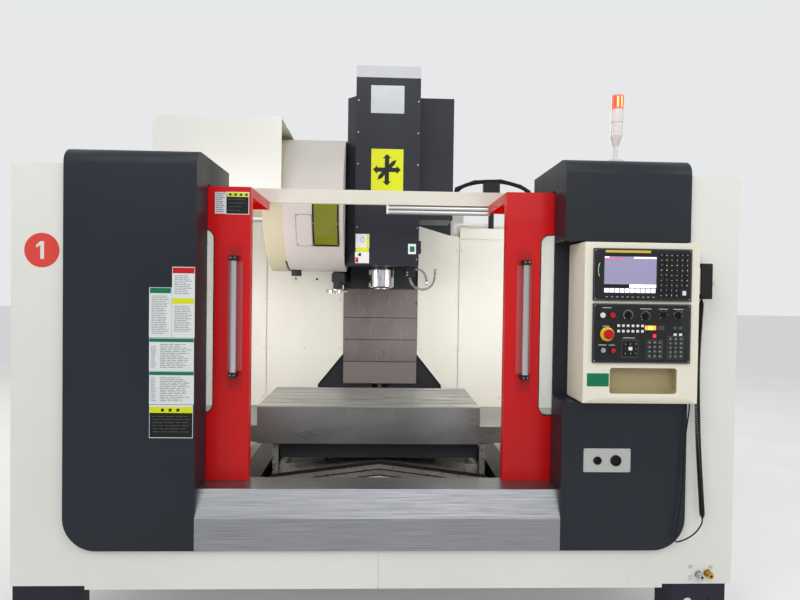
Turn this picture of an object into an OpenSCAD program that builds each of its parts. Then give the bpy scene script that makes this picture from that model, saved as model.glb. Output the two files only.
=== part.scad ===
// Vertical machining centre with sliding front doors, tool magazine and control box.
// Millimetres, Z up from the floor. The front doors face -Y and the operator stands there.
// Depths inside the modules are counted from the front plane of the dark towers;
// placed() moves them so that the machine is centred on the origin.

/* [Enclosure] */
// Full width over the two side enclosures
overall_width = 3100; // [3000:10:3300]
// Depth from the front of the emergency stop to the back of the electrical cabinet
overall_depth = 2950; // [2900:10:3000]
// How far the emergency stop stands in front of the towers
front_reach = 100; // [90:5:120]
// Top of the side enclosures
enclosure_top = 2070; // [1950:5:2140]
// Underside of the side enclosures
enclosure_bottom = 290; // [200:5:350]
// Depth of the side enclosures
enclosure_back = 1950; // [1940:5:1980]
// Thickness of folded sheet metal
skin = 3; // [2:0.5:4]
// Inner faces of the working room
room_half = 1500; // [1480:5:1510]
// Distance of the rear wall of the working room behind the towers
wall_y = 1900; // [1900:1:1910]

/* [Towers] */
// Inner edge of each dark tower
tower_in = 780; // [760:5:800]
// Outer edge of each dark tower
tower_out = 1327; // [1300:1:1340]
// Depth of the upright housing of a tower
tower_depth = 160; // [140:5:164]
// Depth of the roof of a tower
roof_depth = 528; // [500:1:540]
// Underside of the towers and of the front sill
tower_bottom = 445; // [430:5:460]
// Roof of the towers
tower_top = 2138; // [2120:1:2200]
// Radius of the outer bottom corner
tower_corner = 140; // [100:5:160]
// Radius of the roll between front and roof
tower_roll = 65; // [50:5:80]
// Depth of the niche that holds the control box
niche_depth = 145; // [120:5:150]
// Top and bottom of the niche
niche_z = [1089, 1781]; // [1000:1:1900]

/* [Doors] */
// Front face of the sliding doors
door_y = 170; // [166:1:180]
// Thickness of a door
door_depth = 45; // [35:1:50]
// Bottom and top of the doors
door_z = [693, 2012]; // [600:1:2100]
// Inner edge of the left door when open
left_door_edge = -592; // [-600:1:-560]
// Inner edge of the right door when open
right_door_edge = 561; // [550:1:600]
// Width of a door
door_width = 640; // [600:5:660]
// Width of the stile that carries the handle
stile = 159; // [140:1:180]
// Bottom and top of the door window
window_z = [991, 1823]; // [900:1:1900]
// Corner radius of the window
window_corner = 45; // [20:5:60]
// Back end of the door canopies
canopy_back = 618; // [560:1:618]
// Height of the flange at the edge of the canopy
canopy_flange = 42; // [30:1:60]
// Bottom and top of the handle tube
handle_z = [1170, 1695]; // [1100:1:1800]
// Radius of the handle tube
handle_r = 13; // [10:0.5:16]
// Middle of the left and the right handle tube
handle_x = [-657, 648]; // [-680:1:680]

/* [Bed, saddle and table] */
// Top of the bed
bed_top = 515; // [500:1:520]
// Half the width of the bed
bed_half = 540; // [500:5:542]
// Height of the Y rails
y_rail_height = 35; // [30:1:40]
// Distance of the Y rails from the middle
y_rail_x = 280; // [240:5:300]
// Underside and top of the saddle body
saddle_z = [640, 765]; // [600:1:800]
// Half the length of the saddle
saddle_half = 900; // [880:5:920]
// Front and back of the saddle body
saddle_y = [720, 1240]; // [700:1:1260]
// Left and right edge of the table at rest
table_x = [-657, 543]; // [-700:1:600]
// Front and back edge of the table at rest
table_y = [679, 1279]; // [670:1:1285]
// Top of the table
table_top = 930; // [920:1:940]
// Thickness of the table
table_thick = 90; // [80:1:95]
// Width of a table slot at its mouth
slot_mouth = 18; // [14:1:22]
// Width of a table slot below the mouth
slot_foot = 30; // [26:1:36]
// Distance between table slots
slot_pitch = 105; // [100:1:110]
// Travel of the table to the left and to the right
x_travel = [-490, 610]; // [-500:5:620]
// Travel of the saddle to the back
y_travel = 600; // [500:5:600]
// Length of one stage of the table's way covers
x_cover_length = 580; // [570:5:585]

/* [Head and spindle] */
// Distance of the spindle axis behind the towers
spindle_y = 1279; // [1270:1:1290]
// Underside of the spindle nose
nose_bottom = 1571; // [1560:1:1600]
// Radius of the spindle nose
nose_r = 81; // [70:1:85]
// Left and right side of the head cover
head_x = [-215, 222]; // [-220:1:230]
// Front of the head cover
head_front = 1050; // [1040:1:1080]
// Lower front edge of the head cover
cover_bottom = 1705; // [1700:1:1720]
// Top of the dark part of the head cover
cover_top = 2828; // [2780:1:2840]
// Underside of the head behind the spindle
head_bottom = 1566; // [1560:1:1570]
// Front of the column
column_y = 1930; // [1930:1:1935]
// Back of the column
column_back = 2510; // [2450:5:2520]
// Travel of the head downwards and upwards
z_travel = [-490, 110]; // [-500:5:120]

/* [Tool magazine] */
// Height of the magazine axis
drum_z = 2080; // [2060:1:2100]
// Radius of the magazine drum
drum_r = 410; // [400:1:412]
// Left end, seam and right end of the drum
drum_x = [-682, -568, -225]; // [-700:1:-200]
// Number of tool pots
pot_count = 20; // [16:1:22]
// Distance of the change arm axis from the spindle axis
arm_x = -276; // [-280:1:-270]
// Top of the change arm
arm_top = 1560; // [1550:1:1562]

/* [Controls] */
// Left and right side of the control box
box_x = [846, 1336]; // [800:1:1340]
// Front and back of the control box
box_y = [-60, 145]; // [-70:1:145]
// Bottom and top of the control box
box_z = [1096, 1773]; // [1090:1:1780]
// Side length of a small key
key_size = 15; // [12:1:18]

/* [Rear] */
// Half the width of the electrical cabinet
cabinet_half = 700; // [600:10:750]
// Bottom and top of the electrical cabinet
cabinet_z = [450, 2250]; // [400:10:2300]
// Bottom and top of the coolant tank
tank_z = [40, 350]; // [30:5:380]

/* [Hidden] */
// Smoothness of curves and the play between moving faces
$fn = 48;
play = 0.4;
half_width = overall_width / 2;
panel_edge = half_width - 310;
bed_front = 640;
front_y = front_reach - overall_depth / 2;
spindle_x = 0;
door_back = door_y + door_depth;
y_rail_top = bed_top + y_rail_height;
table_bottom = table_top - table_thick;
table_mid = (table_x[0] + table_x[1]) / 2;
foot_half = 300;
x_rail_top = saddle_z[1] + 30;
x_cover_y = [saddle_y[0] - 20, saddle_y[1] + 18];
x_cover_z = [729, 818];
chevron_half = 575;
chevron_peak = 621;
chevron_drop = 74;
chevron_pitch = 6;
chevron_back = 900;
z_cover_low = 857;
z_cover_height = 215;
z_cover_pitch = 164;
z_cover_pitch_y = 4;
z_cover_half = 272;
cover_skin = 2;
head_step_y = spindle_y + 201;
spindle_r = 44.7;
shank_r = 75;
cartridge_top = 1992;
panel_face = box_y[0] - 8;
button_r = 11;
stem_r = 6;
estop_at = [942, 1388];
start_at = [920, 1467];
stop_at = [962, 1468];
feed_at = [1030, 1469];
spindle_knob_at = [1104, 1465];
pendant_x = [1345, 1392];
pendant_y = [-60, 16];
cabinet_y = [column_back + 30, overall_depth - front_reach - 30];
hinge_at = [-cabinet_half - 12, cabinet_y[1] + 15];
hinge_z = [600, 1330, 2060];
hinge_length = 40;
hinge_pin = 4;

// Helpers
module placed() translate([0, front_y, 0]) children();

// box between limits in X, depth and Z
module span(x, y, z)
  translate([x[0], y[0], z[0]]) cube([x[1] - x[0], y[1] - y[0], z[1] - z[0]]);

// profile in depth and Z, drawn out along X
module along_x(x)
  translate([x[0], 0, 0]) rotate([90, 0, 90]) linear_extrude(height = x[1] - x[0]) children();

// profile in X and Z, drawn out along the depth
module along_y(y)
  translate([0, y[1], 0]) rotate([90, 0, 0]) linear_extrude(height = y[1] - y[0]) children();

// profile in X and depth, drawn out along Z
module along_z(z)
  translate([0, 0, z[0]]) linear_extrude(height = z[1] - z[0]) children();

// the same thing left and right
module both_sides() {
  children();
  mirror([1, 0, 0]) children();
}

module field(a, b) translate([a[0], b[0]]) square([a[1] - a[0], b[1] - b[0]]);

module round_field(a, b, r) {
  field([a[0] + r, a[1] - r], b);
  field(a, [b[0] + r, b[1] - r]);
  for (u = [a[0] + r, a[1] - r], v = [b[0] + r, b[1] - r]) translate([u, v]) circle(r);
}

// round bars along the three directions, from a start point
module bar_x(start, length, r) translate(start) rotate([0, 90, 0]) cylinder(h = length, r = r);
module bar_y(start, length, r) translate(start) rotate([-90, 0, 0]) cylinder(h = length, r = r);
module bar_z(start, length, r) translate(start) cylinder(h = length, r = r);

// Cast bed, open below with cross ribs; the rails and the column stand on it
module base_casting() color("dimgray") placed() {
  wall = 45;
  rib_y = [bed_front, 1090, 1500, column_y, column_back + 10];
  foot_z = 100;
  window_r = 90;
  difference() {
    span([-bed_half, bed_half], [rib_y[0], rib_y[4]], [foot_z, bed_top]);
    for (i = [0:3])
      span([-bed_half + wall, bed_half - wall], [rib_y[i] + wall / 2, rib_y[i + 1] - wall / 2],
        [foot_z - 1, bed_top - wall]);
    for (i = [0:3])
      bar_x([-bed_half - 1, (rib_y[i] + rib_y[i + 1]) / 2, (foot_z + bed_top) / 2],
        2 * bed_half + 2, window_r);
    bar_y([0, rib_y[0] - 1, (foot_z + bed_top) / 2], wall, window_r);
  }
}

// Column: cast box, open at the back, with a tunnel for the rear way cover
module column_casting() color("dimgray") placed() {
  foot = 520;
  shoulder_z = 2260;
  top_z = 2580;
  top_half = 345;
  wall = 60;
  tunnel = [345, 700];
  channel = 62;
  channel_y = column_y + 75;
  difference() {
    along_y([column_y, column_back])
      polygon([[-foot, bed_top], [foot, bed_top], [foot, shoulder_z], [top_half, top_z],
        [-top_half, top_z], [-foot, shoulder_z]]);
    span([-tunnel[0], tunnel[0]], [column_y - 1, column_back + 1], [bed_top - 1, tunnel[1]]);
    span([-channel, channel], [column_y - 1, channel_y], [tunnel[1] + wall, top_z + 1]);
    for (level = [[800, 1300], [1360, 1800], [1860, 2200]])
      for (side = [-1, 1])
        span(side > 0 ? [wall / 2, foot - wall] : [wall - foot, -wall / 2],
          [channel_y + wall, column_back + 1], level);
  }
}

// Dark stands below the enclosure corners and levelling pads below the bed
module machine_feet() color("midnightblue") placed() {
  stand_x = [[-half_width + 4, -half_width + 248], [half_width - 258, half_width - 21]];
  stand_y = [[30, 190], [enclosure_back - 250, enclosure_back - 50]];
  hole_r = 22;
  plate = 12;
  foot_z = 100;
  pad_x = bed_half - 23;
  for (x = stand_x, y = stand_y) {
    difference() {
      span(x, y, [0, enclosure_bottom]);
      span([x[0] + plate, x[1] - plate], [y[0] + plate, y[1] + 1], [plate, enclosure_bottom - plate]);
      for (u = [0.3, 0.7], z = [90, 200])
        bar_y([x[0] + u * (x[1] - x[0]), y[0] - 1, z], plate + 2, hole_r);
    }
  }
  pad = [80, 30];
  post_r = 20;
  for (x = [-pad_x, pad_x], y = [bed_front + 60, 1500, column_back - 110]) {
    bar_z([x, y, 0], pad[1], pad[0]);
    bar_z([x, y, pad[1]], foot_z - pad[1], post_r);
  }
}

// Linear rails and ball screws of the Y and Z axes
module guide_rails() color("silver") placed() {
  y_rail = [bed_front + 10, column_y - 5];
  z_rail = [900, 2560];
  z_rail_x = 170;
  rail_half = 17;
  screw_r = 20;
  y_screw_z = bed_top + 55;
  z_screw_y = column_y + 36;
  both_sides() {
    span([y_rail_x - rail_half, y_rail_x + rail_half], y_rail, [bed_top, y_rail_top]);
    span([z_rail_x - rail_half, z_rail_x + rail_half], [column_y - 25, column_y], z_rail);
  }
  bar_y([0, y_rail[0], y_screw_z], y_rail[1] - y_rail[0], screw_r);
  for (y = [y_rail[0], y_rail[1] - 35])
    span([-55, 55], [y, y + 30], [bed_top, y_screw_z + 20]);
  bar_z([0, z_screw_y, 780], 1790, screw_r);
  for (z = [770, 2540])
    span([-62, 62], [z_screw_y - 36, column_y + 75], [z, z + 38]);
}

// Servo motors of the Y axis (in the column tunnel) and of the Z axis (on the column)
module axis_motors() color("darkslategray") placed() {
  motor = 65;
  y_motor = 50;
  y_z = bed_top + 55;
  span([-y_motor, y_motor], [1926, 2150], [y_z - y_motor, y_z + y_motor]);
  span([-y_motor - 15, y_motor + 15], [2150, 2200], [bed_top, y_z + y_motor]);
  bar_y([0, 2200, y_z], 40, y_motor - 8);
  span([-motor, motor], [column_y - 20, column_y + 110], [2580, 2600]);
  span([-motor + 8, motor - 8], [column_y - 12, column_y + 102], [2600, 2790]);
  bar_z([0, column_y + 45, 2790], 30, 45);
}

// Form of the right-hand tower, made smaller by inset and then open at the back
module tower_form(inset) {
  open = inset > 0 ? 1 : 0;
  roof_low = door_z[1] + 8;
  intersection() {
    along_x([tower_in + inset, tower_out - inset]) {
      field([inset, tower_depth + open], [tower_bottom, tower_top - tower_roll]);
      field([tower_roll, roof_depth - inset], [roof_low - open, tower_top - inset]);
      translate([tower_roll, tower_top - tower_roll]) circle(tower_roll - inset);
    }
    along_y([0, roof_depth]) {
      field([tower_in, tower_out], [tower_bottom + tower_corner, tower_top]);
      field([tower_in, tower_out - tower_corner], [tower_bottom + inset, tower_top]);
      translate([tower_out - tower_corner, tower_bottom + tower_corner])
        circle(tower_corner - inset);
    }
  }
}

module tower_shell() difference() {
  tower_form(0);
  tower_form(skin);
}

// Sheet-metal side enclosure, drawn on the right
module enclosure_side(notch) {
  outer = half_width;
  flange = 60;
  service = [[450, 1100], [1150, 1850]];
  service_z = [450, 1850];
  groove = [1.5, 5];
  difference() {
    union() {
      span([outer - skin, outer], [20, enclosure_back], [enclosure_bottom, enclosure_top]);
      span([panel_edge, outer], [20, 20 + skin], [enclosure_bottom, enclosure_top]);
      span([outer - flange, outer], [20, enclosure_back],
        [enclosure_bottom, enclosure_bottom + skin]);
      span([room_half, outer], [20, enclosure_back], [enclosure_top - skin, enclosure_top]);
      span([room_half, room_half + skin], [20 + skin, enclosure_back],
        [tower_bottom, enclosure_top]);
      span([panel_edge, room_half], [door_y + 2, door_y + 2 + skin], [tower_bottom + 5, 2005]);
      span([bed_half + 5, outer], [enclosure_back - skin, enclosure_back],
        [enclosure_bottom, enclosure_top]);
    }
    tower_form(0);
    if (notch)
      span([panel_edge, box_x[1] + 1], [19, 20 + skin + 1], [box_z[0] - 1, box_z[1] + 1]);
    for (y = service)
      along_x([outer - groove[0], outer + 1]) difference() {
        round_field(y, service_z, 30);
        round_field(y + [groove[1], -groove[1]], service_z + [groove[1], -groove[1]], 28);
      }
  }
}

module enclosure_left() color("ivory") placed() mirror([1, 0, 0]) enclosure_side(false);
module enclosure_right() color("ivory") placed() enclosure_side(true);

// Two folded panels below the front sill
module front_lower_panel() color("ivory") placed() {
  edge = panel_edge;
  seam = 3;
  z = [275, tower_bottom];
  front = 17;
  fold = 30;
  screw_pitch = 360;
  for (x = [[-edge, -seam / 2], [seam / 2, edge]]) {
    span(x, [front, front + skin], z);
    span(x, [front, front + fold], [z[0], z[0] + skin]);
    span(x, [front, front + fold], [z[1] - skin, z[1]]);
  }
  for (i = [-3:3]) bar_y([i * screw_pitch + 20, front - 3, z[0] + 28], 3, 7);
  span([-60, 60], [front + skin, front + 2 * skin], [z[0] + 10, z[1] - 10]);
}

module tower_left() color("midnightblue") placed() mirror([1, 0, 0]) tower_shell();

// Right-hand tower: niche for the control box and a plate with two sockets
module tower_right() color("midnightblue") placed() {
  plate_x = [876, 1081];
  plate_z = [787, 889];
  sockets = [[936, 838, 13], [1016, 838, 19]];
  stand_out = 8;
  difference() {
    tower_shell();
    span([tower_in - 1, tower_out + 1], [-1, niche_depth], niche_z);
  }
  span([tower_in, tower_out], [niche_depth, niche_depth + skin], niche_z);
  for (z = [niche_z[0] - skin, niche_z[1]])
    span([tower_in, tower_out], [0, niche_depth + skin], [z, z + skin]);
  difference() {
    union() {
      along_y([-3, 0]) round_field(plate_x, plate_z, 6);
      for (s = sockets) bar_y([s[0], -stand_out, s[1]], stand_out, s[2] + 5);
    }
    for (s = sockets) bar_y([s[0], -stand_out - 1, s[1]], stand_out - 1, s[2]);
  }
}

// Stainless front sill with the door track behind it
module front_sill() color("silver") placed() {
  track_x = panel_edge - 2;
  track_y = [tower_depth + 8, door_back - 1];
  track_z = [676, door_z[0] - play];
  lip = 20;
  along_x([-tower_in, tower_in])
    polygon([[0, tower_bottom], [0, 583], [50, 694], [track_y[0], 694], [track_y[0], 691],
      [52, 691], [skin, 582], [skin, tower_bottom + skin], [lip, tower_bottom + skin],
      [lip, tower_bottom]]);
  span([-track_x, track_x], track_y, track_z);
  span([-track_x, track_x], [track_y[1] - skin, track_y[1]], [tower_bottom + 5, track_z[0]]);
}

// Rear wall of the working room in four sheets with two rails behind
module back_walls() color("ivory") placed() {
  top = 2045;
  bottom = 545;
  seam_left = -842;
  seam_right = 583;
  inner = [275, 1080];
  cut = [460, 850];
  lip_z = [1948, 2026];
  rail = 12;
  port_x = [-345, -275];
  hole = [[-630, -475], 1632, 9];
  difference() {
    along_y([wall_y, wall_y + skin]) {
      field([-room_half, seam_left - 2], [bottom, top]);
      polygon([[seam_left + 2, bottom], [seam_left + 2, top], [-inner[0], top],
        [-inner[0], inner[1]], [-cut[0], cut[1]], [-cut[0], bottom]]);
      polygon([[inner[0], inner[1]], [inner[0], top - 7], [517, 1969], [seam_right - 2, 1969],
        [seam_right - 2, bottom], [cut[0], bottom], [cut[0], cut[1]]]);
      field([seam_right + 2, room_half], [bottom, lip_z[1]]);
    }
    span([port_x[0] - 1, port_x[1] + 1], [wall_y - 1, wall_y + rail], [1590, 1905]);
    for (x = hole[0]) bar_y([x, wall_y - 1, hole[1]], skin + 2, hole[2]);
  }
  span([seam_right + 2, room_half], [wall_y - 15, wall_y], lip_z);
  both_sides() {
    span([cut[0], room_half], [wall_y + skin, wall_y + skin + rail], [600, 640]);
    span([350, room_half], [wall_y + skin, wall_y + skin + rail], [1915, 1955]);
  }
}

// Cream cross member behind the door canopies
module crossbar() color("cornsilk") placed() {
  y = [620, 650];
  z = [2010, 2083];
  difference() {
    span([-room_half, room_half], y, z);
    span([-room_half + skin, room_half - skin], [y[0] + skin, y[1] + 1], [z[0] + skin, z[1] - skin]);
  }
}

module work_lamp() color("white") placed() {
  x = [20, 569];
  z = [1962, 2010];
  tube_r = 9;
  tube_y = 632;
  span(x, [tube_y + 6, tube_y + 16], z);
  for (z_tube = [z[0] + tube_r + 2, z[1] - tube_r - 6]) bar_x([x[0], tube_y, z_tube], x[1] - x[0], tube_r);
  for (u = [x[0], x[1] - 12]) span([u, u + 12], [tube_y - 9, tube_y + 16], z);
}

// Three-tier signal light on the right-hand tower
module tower_light() color("whitesmoke") placed() {
  at = [1038, 125];
  lean = 1.5;
  stem_r = 9;
  lens_r = 26;
  translate([at[0], at[1], tower_top]) {
    bar_z([0, 0, 0], 10, 42);
    bar_z([0, 0, 10], 8, 30);
    rotate([0, lean, 0]) {
      bar_z([0, 0, 12], 70, stem_r + 2);
      translate([0, 0, 80]) cylinder(h = 45, r1 = stem_r + 3, r2 = lens_r);
      for (i = [0:2]) bar_z([0, 0, 125 + i * 60], 56, lens_r);
      for (i = [0:2]) bar_z([0, 0, 181 + i * 60], 4, lens_r - 3);
      bar_z([0, 0, 305], 8, lens_r);
    }
  }
}

// Chevron way cover: outer skin peak, thickness, depth range
module chevron(peak, thick, y) along_y(y)
  polygon([[-chevron_half, peak - chevron_drop], [0, peak], [chevron_half, peak - chevron_drop],
    [chevron_half, peak - chevron_drop - thick], [0, peak - thick],
    [-chevron_half, peak - chevron_drop - thick]]);

// One stage of the Y cover with its wiper lip; stage 0 sits on the saddle
module y_stage(stage, front) {
  peak = chevron_peak - stage * chevron_pitch;
  chevron(peak, skin, [front, chevron_back]);
  chevron(peak - skin, chevron_pitch - skin - play, [front, front + 10]);
}

// One stage of the Z cover: plate with a wiper lip along its lower edge
module z_stage(stage, lip) {
  z = z_cover_low + stage * z_cover_pitch;
  y = wall_y - 1 - stage * z_cover_pitch_y;
  span([-z_cover_half, z_cover_half], [y, y + skin], [z, z + z_cover_height]);
  if (lip)
    span([-z_cover_half, z_cover_half], [y + skin, y + z_cover_pitch_y - play], [z, z + 8]);
}

// Chip pan: front trough, side trays, auger troughs, fixed chevron and fixed Z cover
module chip_pan() color("silver") placed() {
  front = [205, 300];
  floor_z = 447;
  tray_z = 550;
  trough_x = 640;
  trough_z = 400;
  back = 1896;
  stage = 3;
  peak = chevron_peak - stage * chevron_pitch;
  span([-room_half, room_half], front, [floor_z, floor_z + skin]);
  edge = peak - skin - chevron_drop * bed_half / chevron_half;
  along_y([front[1] - skin, front[1]])
    polygon([[-bed_half, floor_z], [bed_half, floor_z], [bed_half, edge], [0, peak - skin],
      [-bed_half, edge]]);
  chevron(peak, skin, [front[1] - skin, chevron_back]);
  both_sides() {
    span([trough_x, room_half], [front[1] - skin, front[1]], [floor_z, tray_z]);
    span([trough_x, room_half], [front[1] - skin, back], [tray_z - skin, tray_z]);
    span([trough_x - skin, trough_x], [front[1] - skin, back], [trough_z, tray_z]);
    span([bed_half, trough_x], [front[1] - skin, back], [trough_z, trough_z + skin]);
    span([bed_half, trough_x], [front[1] - skin, front[1]], [trough_z, floor_z + skin]);
    span([bed_half, trough_x], [back - skin, back], [trough_z, tray_z]);
    span([bed_half, bed_half + skin], [front[1] - skin, bed_front],
      [trough_z, peak - chevron_drop - skin]);
    bar_y([(bed_half + trough_x) / 2, front[1] - 1, 470], back - skin - front[1] + 2, 40);
  }
  z_stage(0, false);
  span([-230, 230], [wall_y + 2, column_y], [z_cover_low, z_cover_low + 6]);
}

// Sheet guard over the left end of the magazine, open below and to the right
module magazine_guard() color("white") placed() {
  x = [-1275, drum_x[1] + 2];
  y = [spindle_y - drum_r - 51, spindle_y + drum_r + 61];
  z = [enclosure_top, drum_z + drum_r + 20];
  r = 60;
  notch_x = [drum_x[0], drum_x[1] - 4];
  notch_z = 2240;
  difference() {
    along_y(y) {
      field([x[0] + r, x[1]], z);
      field([x[0], x[1]], [z[0], z[1] - r]);
      translate([x[0] + r, z[1] - r]) circle(r);
    }
    along_y([y[0] + skin, y[1] - skin]) {
      field([x[0] + r, x[1] + 1], [z[0] - 1, z[1] - skin]);
      field([x[0] + skin, x[1] + 1], [z[0] - 1, z[1] - r]);
      translate([x[0] + r, z[1] - r]) circle(r - skin);
    }
    span([notch_x[0], x[1] + 1], [y[1] - 2 * skin, y[1] + 1], [z[0] - 1, notch_z]);
  }
}

// Ring around the magazine axis between two radii
module drum_ring(x, outer, inner) along_x(x)
  translate([spindle_y, drum_z]) difference() {
    circle(outer);
    circle(inner);
  }

// Left half of the drum, its carrier, the disc shaft and the drive of the change arm
module changer_frame() color("tan") placed() {
  beam = [[drum_x[0], drum_x[1] - 4], [2060, 2240]];
  box_z_arm = [1604, 1660];
  drum_ring([drum_x[0], drum_x[1]], drum_r, drum_r - skin - 1);
  drum_ring([drum_x[0], drum_x[0] + skin], drum_r - skin, 20);
  translate([0, spindle_y, drum_z]) {
    bar_x([drum_x[0], 0, 0], 116, 60);
    bar_x([drum_x[0], 0, 0], 250, 30);
  }
  for (a = [30:60:330]) translate([0, spindle_y, drum_z]) rotate([a, 0, 0])
    span([drum_x[0] + skin, drum_x[0] + 70], [50, drum_r - skin], [-4, 4]);
  difference() {
    span(beam[0], [spindle_y + 250, column_y], beam[1]);
    along_x(beam[0] + [-1, 1]) translate([spindle_y, drum_z]) circle(drum_r - 1);
  }
  span([drum_x[0], -400], [1780, column_y], beam[1]);
  bar_x([drum_x[0] - 218, spindle_y, drum_z], 218, 70);
  // cam box and hub of the change arm
  span([-312, -233], [1225, 1800], box_z_arm);
  span([-340, -280], [1700, column_y], [1604, 1880]);
  bar_z([arm_x, spindle_y, arm_top + play], 98, 30);
  bar_z([arm_x + 8, 1240, 1580], 24, 14);
  // ready pot below the drum with its link
  bar_z([-540, spindle_y, 1640], 70, 32);
  span([drum_x[0], -540], [spindle_y - 30, spindle_y + 30], [1700, 1722]);
}

// Right half of the drum with hatch and cut-out for the window and the ready pot
module magazine_cover() color("lightgray") placed() {
  window = [[-390, -259], [1818, 2047]];
  hatch = [[-495, -403], [1807, 1984]];
  difference() {
    drum_ring([drum_x[1], drum_x[2]], drum_r, drum_r - skin - 1);
    span(window[0], [spindle_y - drum_r, spindle_y], window[1]);
    span([drum_x[1] - 1, -500], [spindle_y - 80, spindle_y + 80], [1600, 1800]);
  }
  drum_ring([drum_x[2] - skin, drum_x[2]], drum_r - skin, 12);
  intersection() {
    drum_ring(hatch[0], drum_r + 1.5, drum_r);
    along_y([spindle_y - drum_r, spindle_y]) round_field(hatch[0], hatch[1], 8);
  }
}

module magazine_window() color("olive") placed() intersection() {
  drum_ring([-398, -251], drum_r + 3, drum_r);
  span([-399, -250], [spindle_y - drum_r - 4, spindle_y], [1810, 2055]);
}

// Cabinet behind the column, with mounting plate, drives and the fixed hinge halves
module electrical_cabinet() color("ivory") placed() {
  half = cabinet_half;
  y = cabinet_y;
  z = cabinet_z;
  wall = 3;
  plate_y = y[0] + wall + 4;
  drive = [220, 167, 500];
  drive_pitch = 290;
  breaker = [70, 87, 150];
  breaker_pitch = 110;
  difference() {
    span([-half, half], y, z);
    span([-half + wall, half - wall], [y[0] + wall, y[1] + 1], [z[0] + wall, z[1] - wall]);
  }
  span([-half + 60, half - 60], [y[0] + wall, plate_y], [z[0] + 80, z[1] - 80]);
  for (i = [0:3]) translate([-560 + i * drive_pitch, plate_y - 1, 1500]) cube(drive);
  span([-560, 560], [plate_y - 1, plate_y + 50], [1300, 1380]);
  for (i = [0:9]) translate([-540 + i * breaker_pitch, plate_y - 1, 1050]) cube(breaker);
  for (x = [-480, 360], low = [600, 1950])
    span([x, x + 120], [column_back, y[0]], [low, low + 160]);
  for (low = hinge_z) {
    span([hinge_at[0] - 6, 1 - half], [y[1] - 30, y[1] - 8], [low, low + hinge_length]);
    span([hinge_at[0] - 6, hinge_at[0] + 6], [y[1] - 8, hinge_at[1]], [low, low + hinge_length]);
    bar_z([hinge_at[0], hinge_at[1], low], hinge_length, 2 * hinge_pin + 1);
    bar_z([hinge_at[0], hinge_at[1], low + 1], 2 * hinge_length - 3, hinge_pin);
  }
}

// Rear door of the cabinet with vents, a recessed handle and its hinge halves
module cabinet_door() color("ivory") placed() {
  half = cabinet_half - 1;
  y = [cabinet_y[1] + play, cabinet_y[1] + 30];
  z = [cabinet_z[0] + 2, cabinet_z[1] - 2];
  recess = [[540, 620], [1230, 1470]];
  depth = 22;
  grip_x = [572, 588];
  grip_z = [1262, 1438];
  leg = 14;
  difference() {
    union() {
      difference() {
        span([-half, half], y, z);
        span([-half + skin, half - skin], [y[0] - 1, y[1] - skin], [z[0] + skin, z[1] - skin]);
      }
      span(recess[0] + [-skin, skin], [y[1] - depth - skin, y[1]], recess[1] + [-skin, skin]);
    }
    span(recess[0], [y[1] - depth, y[1] + 1], recess[1]);
    for (i = [0:7]) along_y([y[1] - skin - 1, y[1] + 1])
      round_field([250, 550], [700 + i * 40, 714 + i * 40], 6);
  }
  span(grip_x, [y[1] - 10, y[1] - 2], grip_z);
  for (low = [grip_z[0], grip_z[1] - leg])
    span(grip_x, [y[1] - depth - 1, y[1] - 2], [low, low + leg]);
  for (low = hinge_z) difference() {
    union() {
      span([hinge_at[0], 1 - half], [hinge_at[1] - 6, hinge_at[1] + 6],
        [low + hinge_length + play, low + 2 * hinge_length]);
      bar_z([hinge_at[0], hinge_at[1], low + hinge_length + play], hinge_length - play,
        2 * hinge_pin + 1);
    }
    bar_z([hinge_at[0], hinge_at[1], low + hinge_length], hinge_length + 1, hinge_pin + play);
  }
}

// Coolant tank behind the left side with pump and supply pipe
module coolant_tank() color("gainsboro") placed() {
  x = [-room_half, -560];
  y = [enclosure_back + 50, column_back + 190];
  z = tank_z;
  pump = [-1000, 2300];
  pipe_r = 20;
  difference() {
    span(x, y, z);
    span([x[0] + skin, x[1] - skin], [y[0] + skin, y[1] - skin], [z[0] + skin, z[1] + 1]);
  }
  span([x[0] + skin, pump[0] + 200], [y[0] + skin, y[1] - skin], [z[1] - skin, z[1]]);
  for (u = [x[0] + 60, x[1] - 60], v = [y[0] + 60, y[1] - 60]) bar_z([u, v, 0], z[0], 30);
  bar_z([pump[0], pump[1], z[1]], 60, 90);
  bar_z([pump[0], pump[1], z[1] + 60], 260, 70);
  bar_z([pump[0], pump[1], z[1] + 320], 30, 60);
  bar_y([pump[0], enclosure_back, z[1] + 30], pump[1] - enclosure_back, pipe_r);
}

// Oil reservoir of the central lubrication on the rear right
module lube_unit() color("whitesmoke") placed() {
  x = [760, 980];
  y = [enclosure_back, 2090];
  span(x, y, [1100, 1300]);
  span([x[0] + 15, x[1] - 15], [y[0] + 10, y[1] - 10], [940, 1100]);
  bar_z([x[0] + 50, y[0] + 60, 1300], 60, 25);
  bar_z([x[1] - 50, y[0] + 60, 1300], 30, 18);
}

// Two quick couplers and three screws at the lower right of the front
module air_couplers() color("silver") placed() {
  silver_at = [half_width - 148, 332];
  brass_at = [half_width - 108, 337];
  front = 20;
  for (c = [silver_at, brass_at]) difference() {
    union() {
      bar_y([c[0], front - 8, c[1]], 8, 17);
      bar_y([c[0], front - 34, c[1]], 26, 12);
      bar_y([c[0], front - 24, c[1]], 10, 15);
    }
    bar_y([c[0], front - 35, c[1]], 25, 6);
  }
  for (s = [[184, 366], [93, 364], [183, 319]]) bar_y([half_width - s[0], front - 4, s[1]], 4, 7);
}

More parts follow.
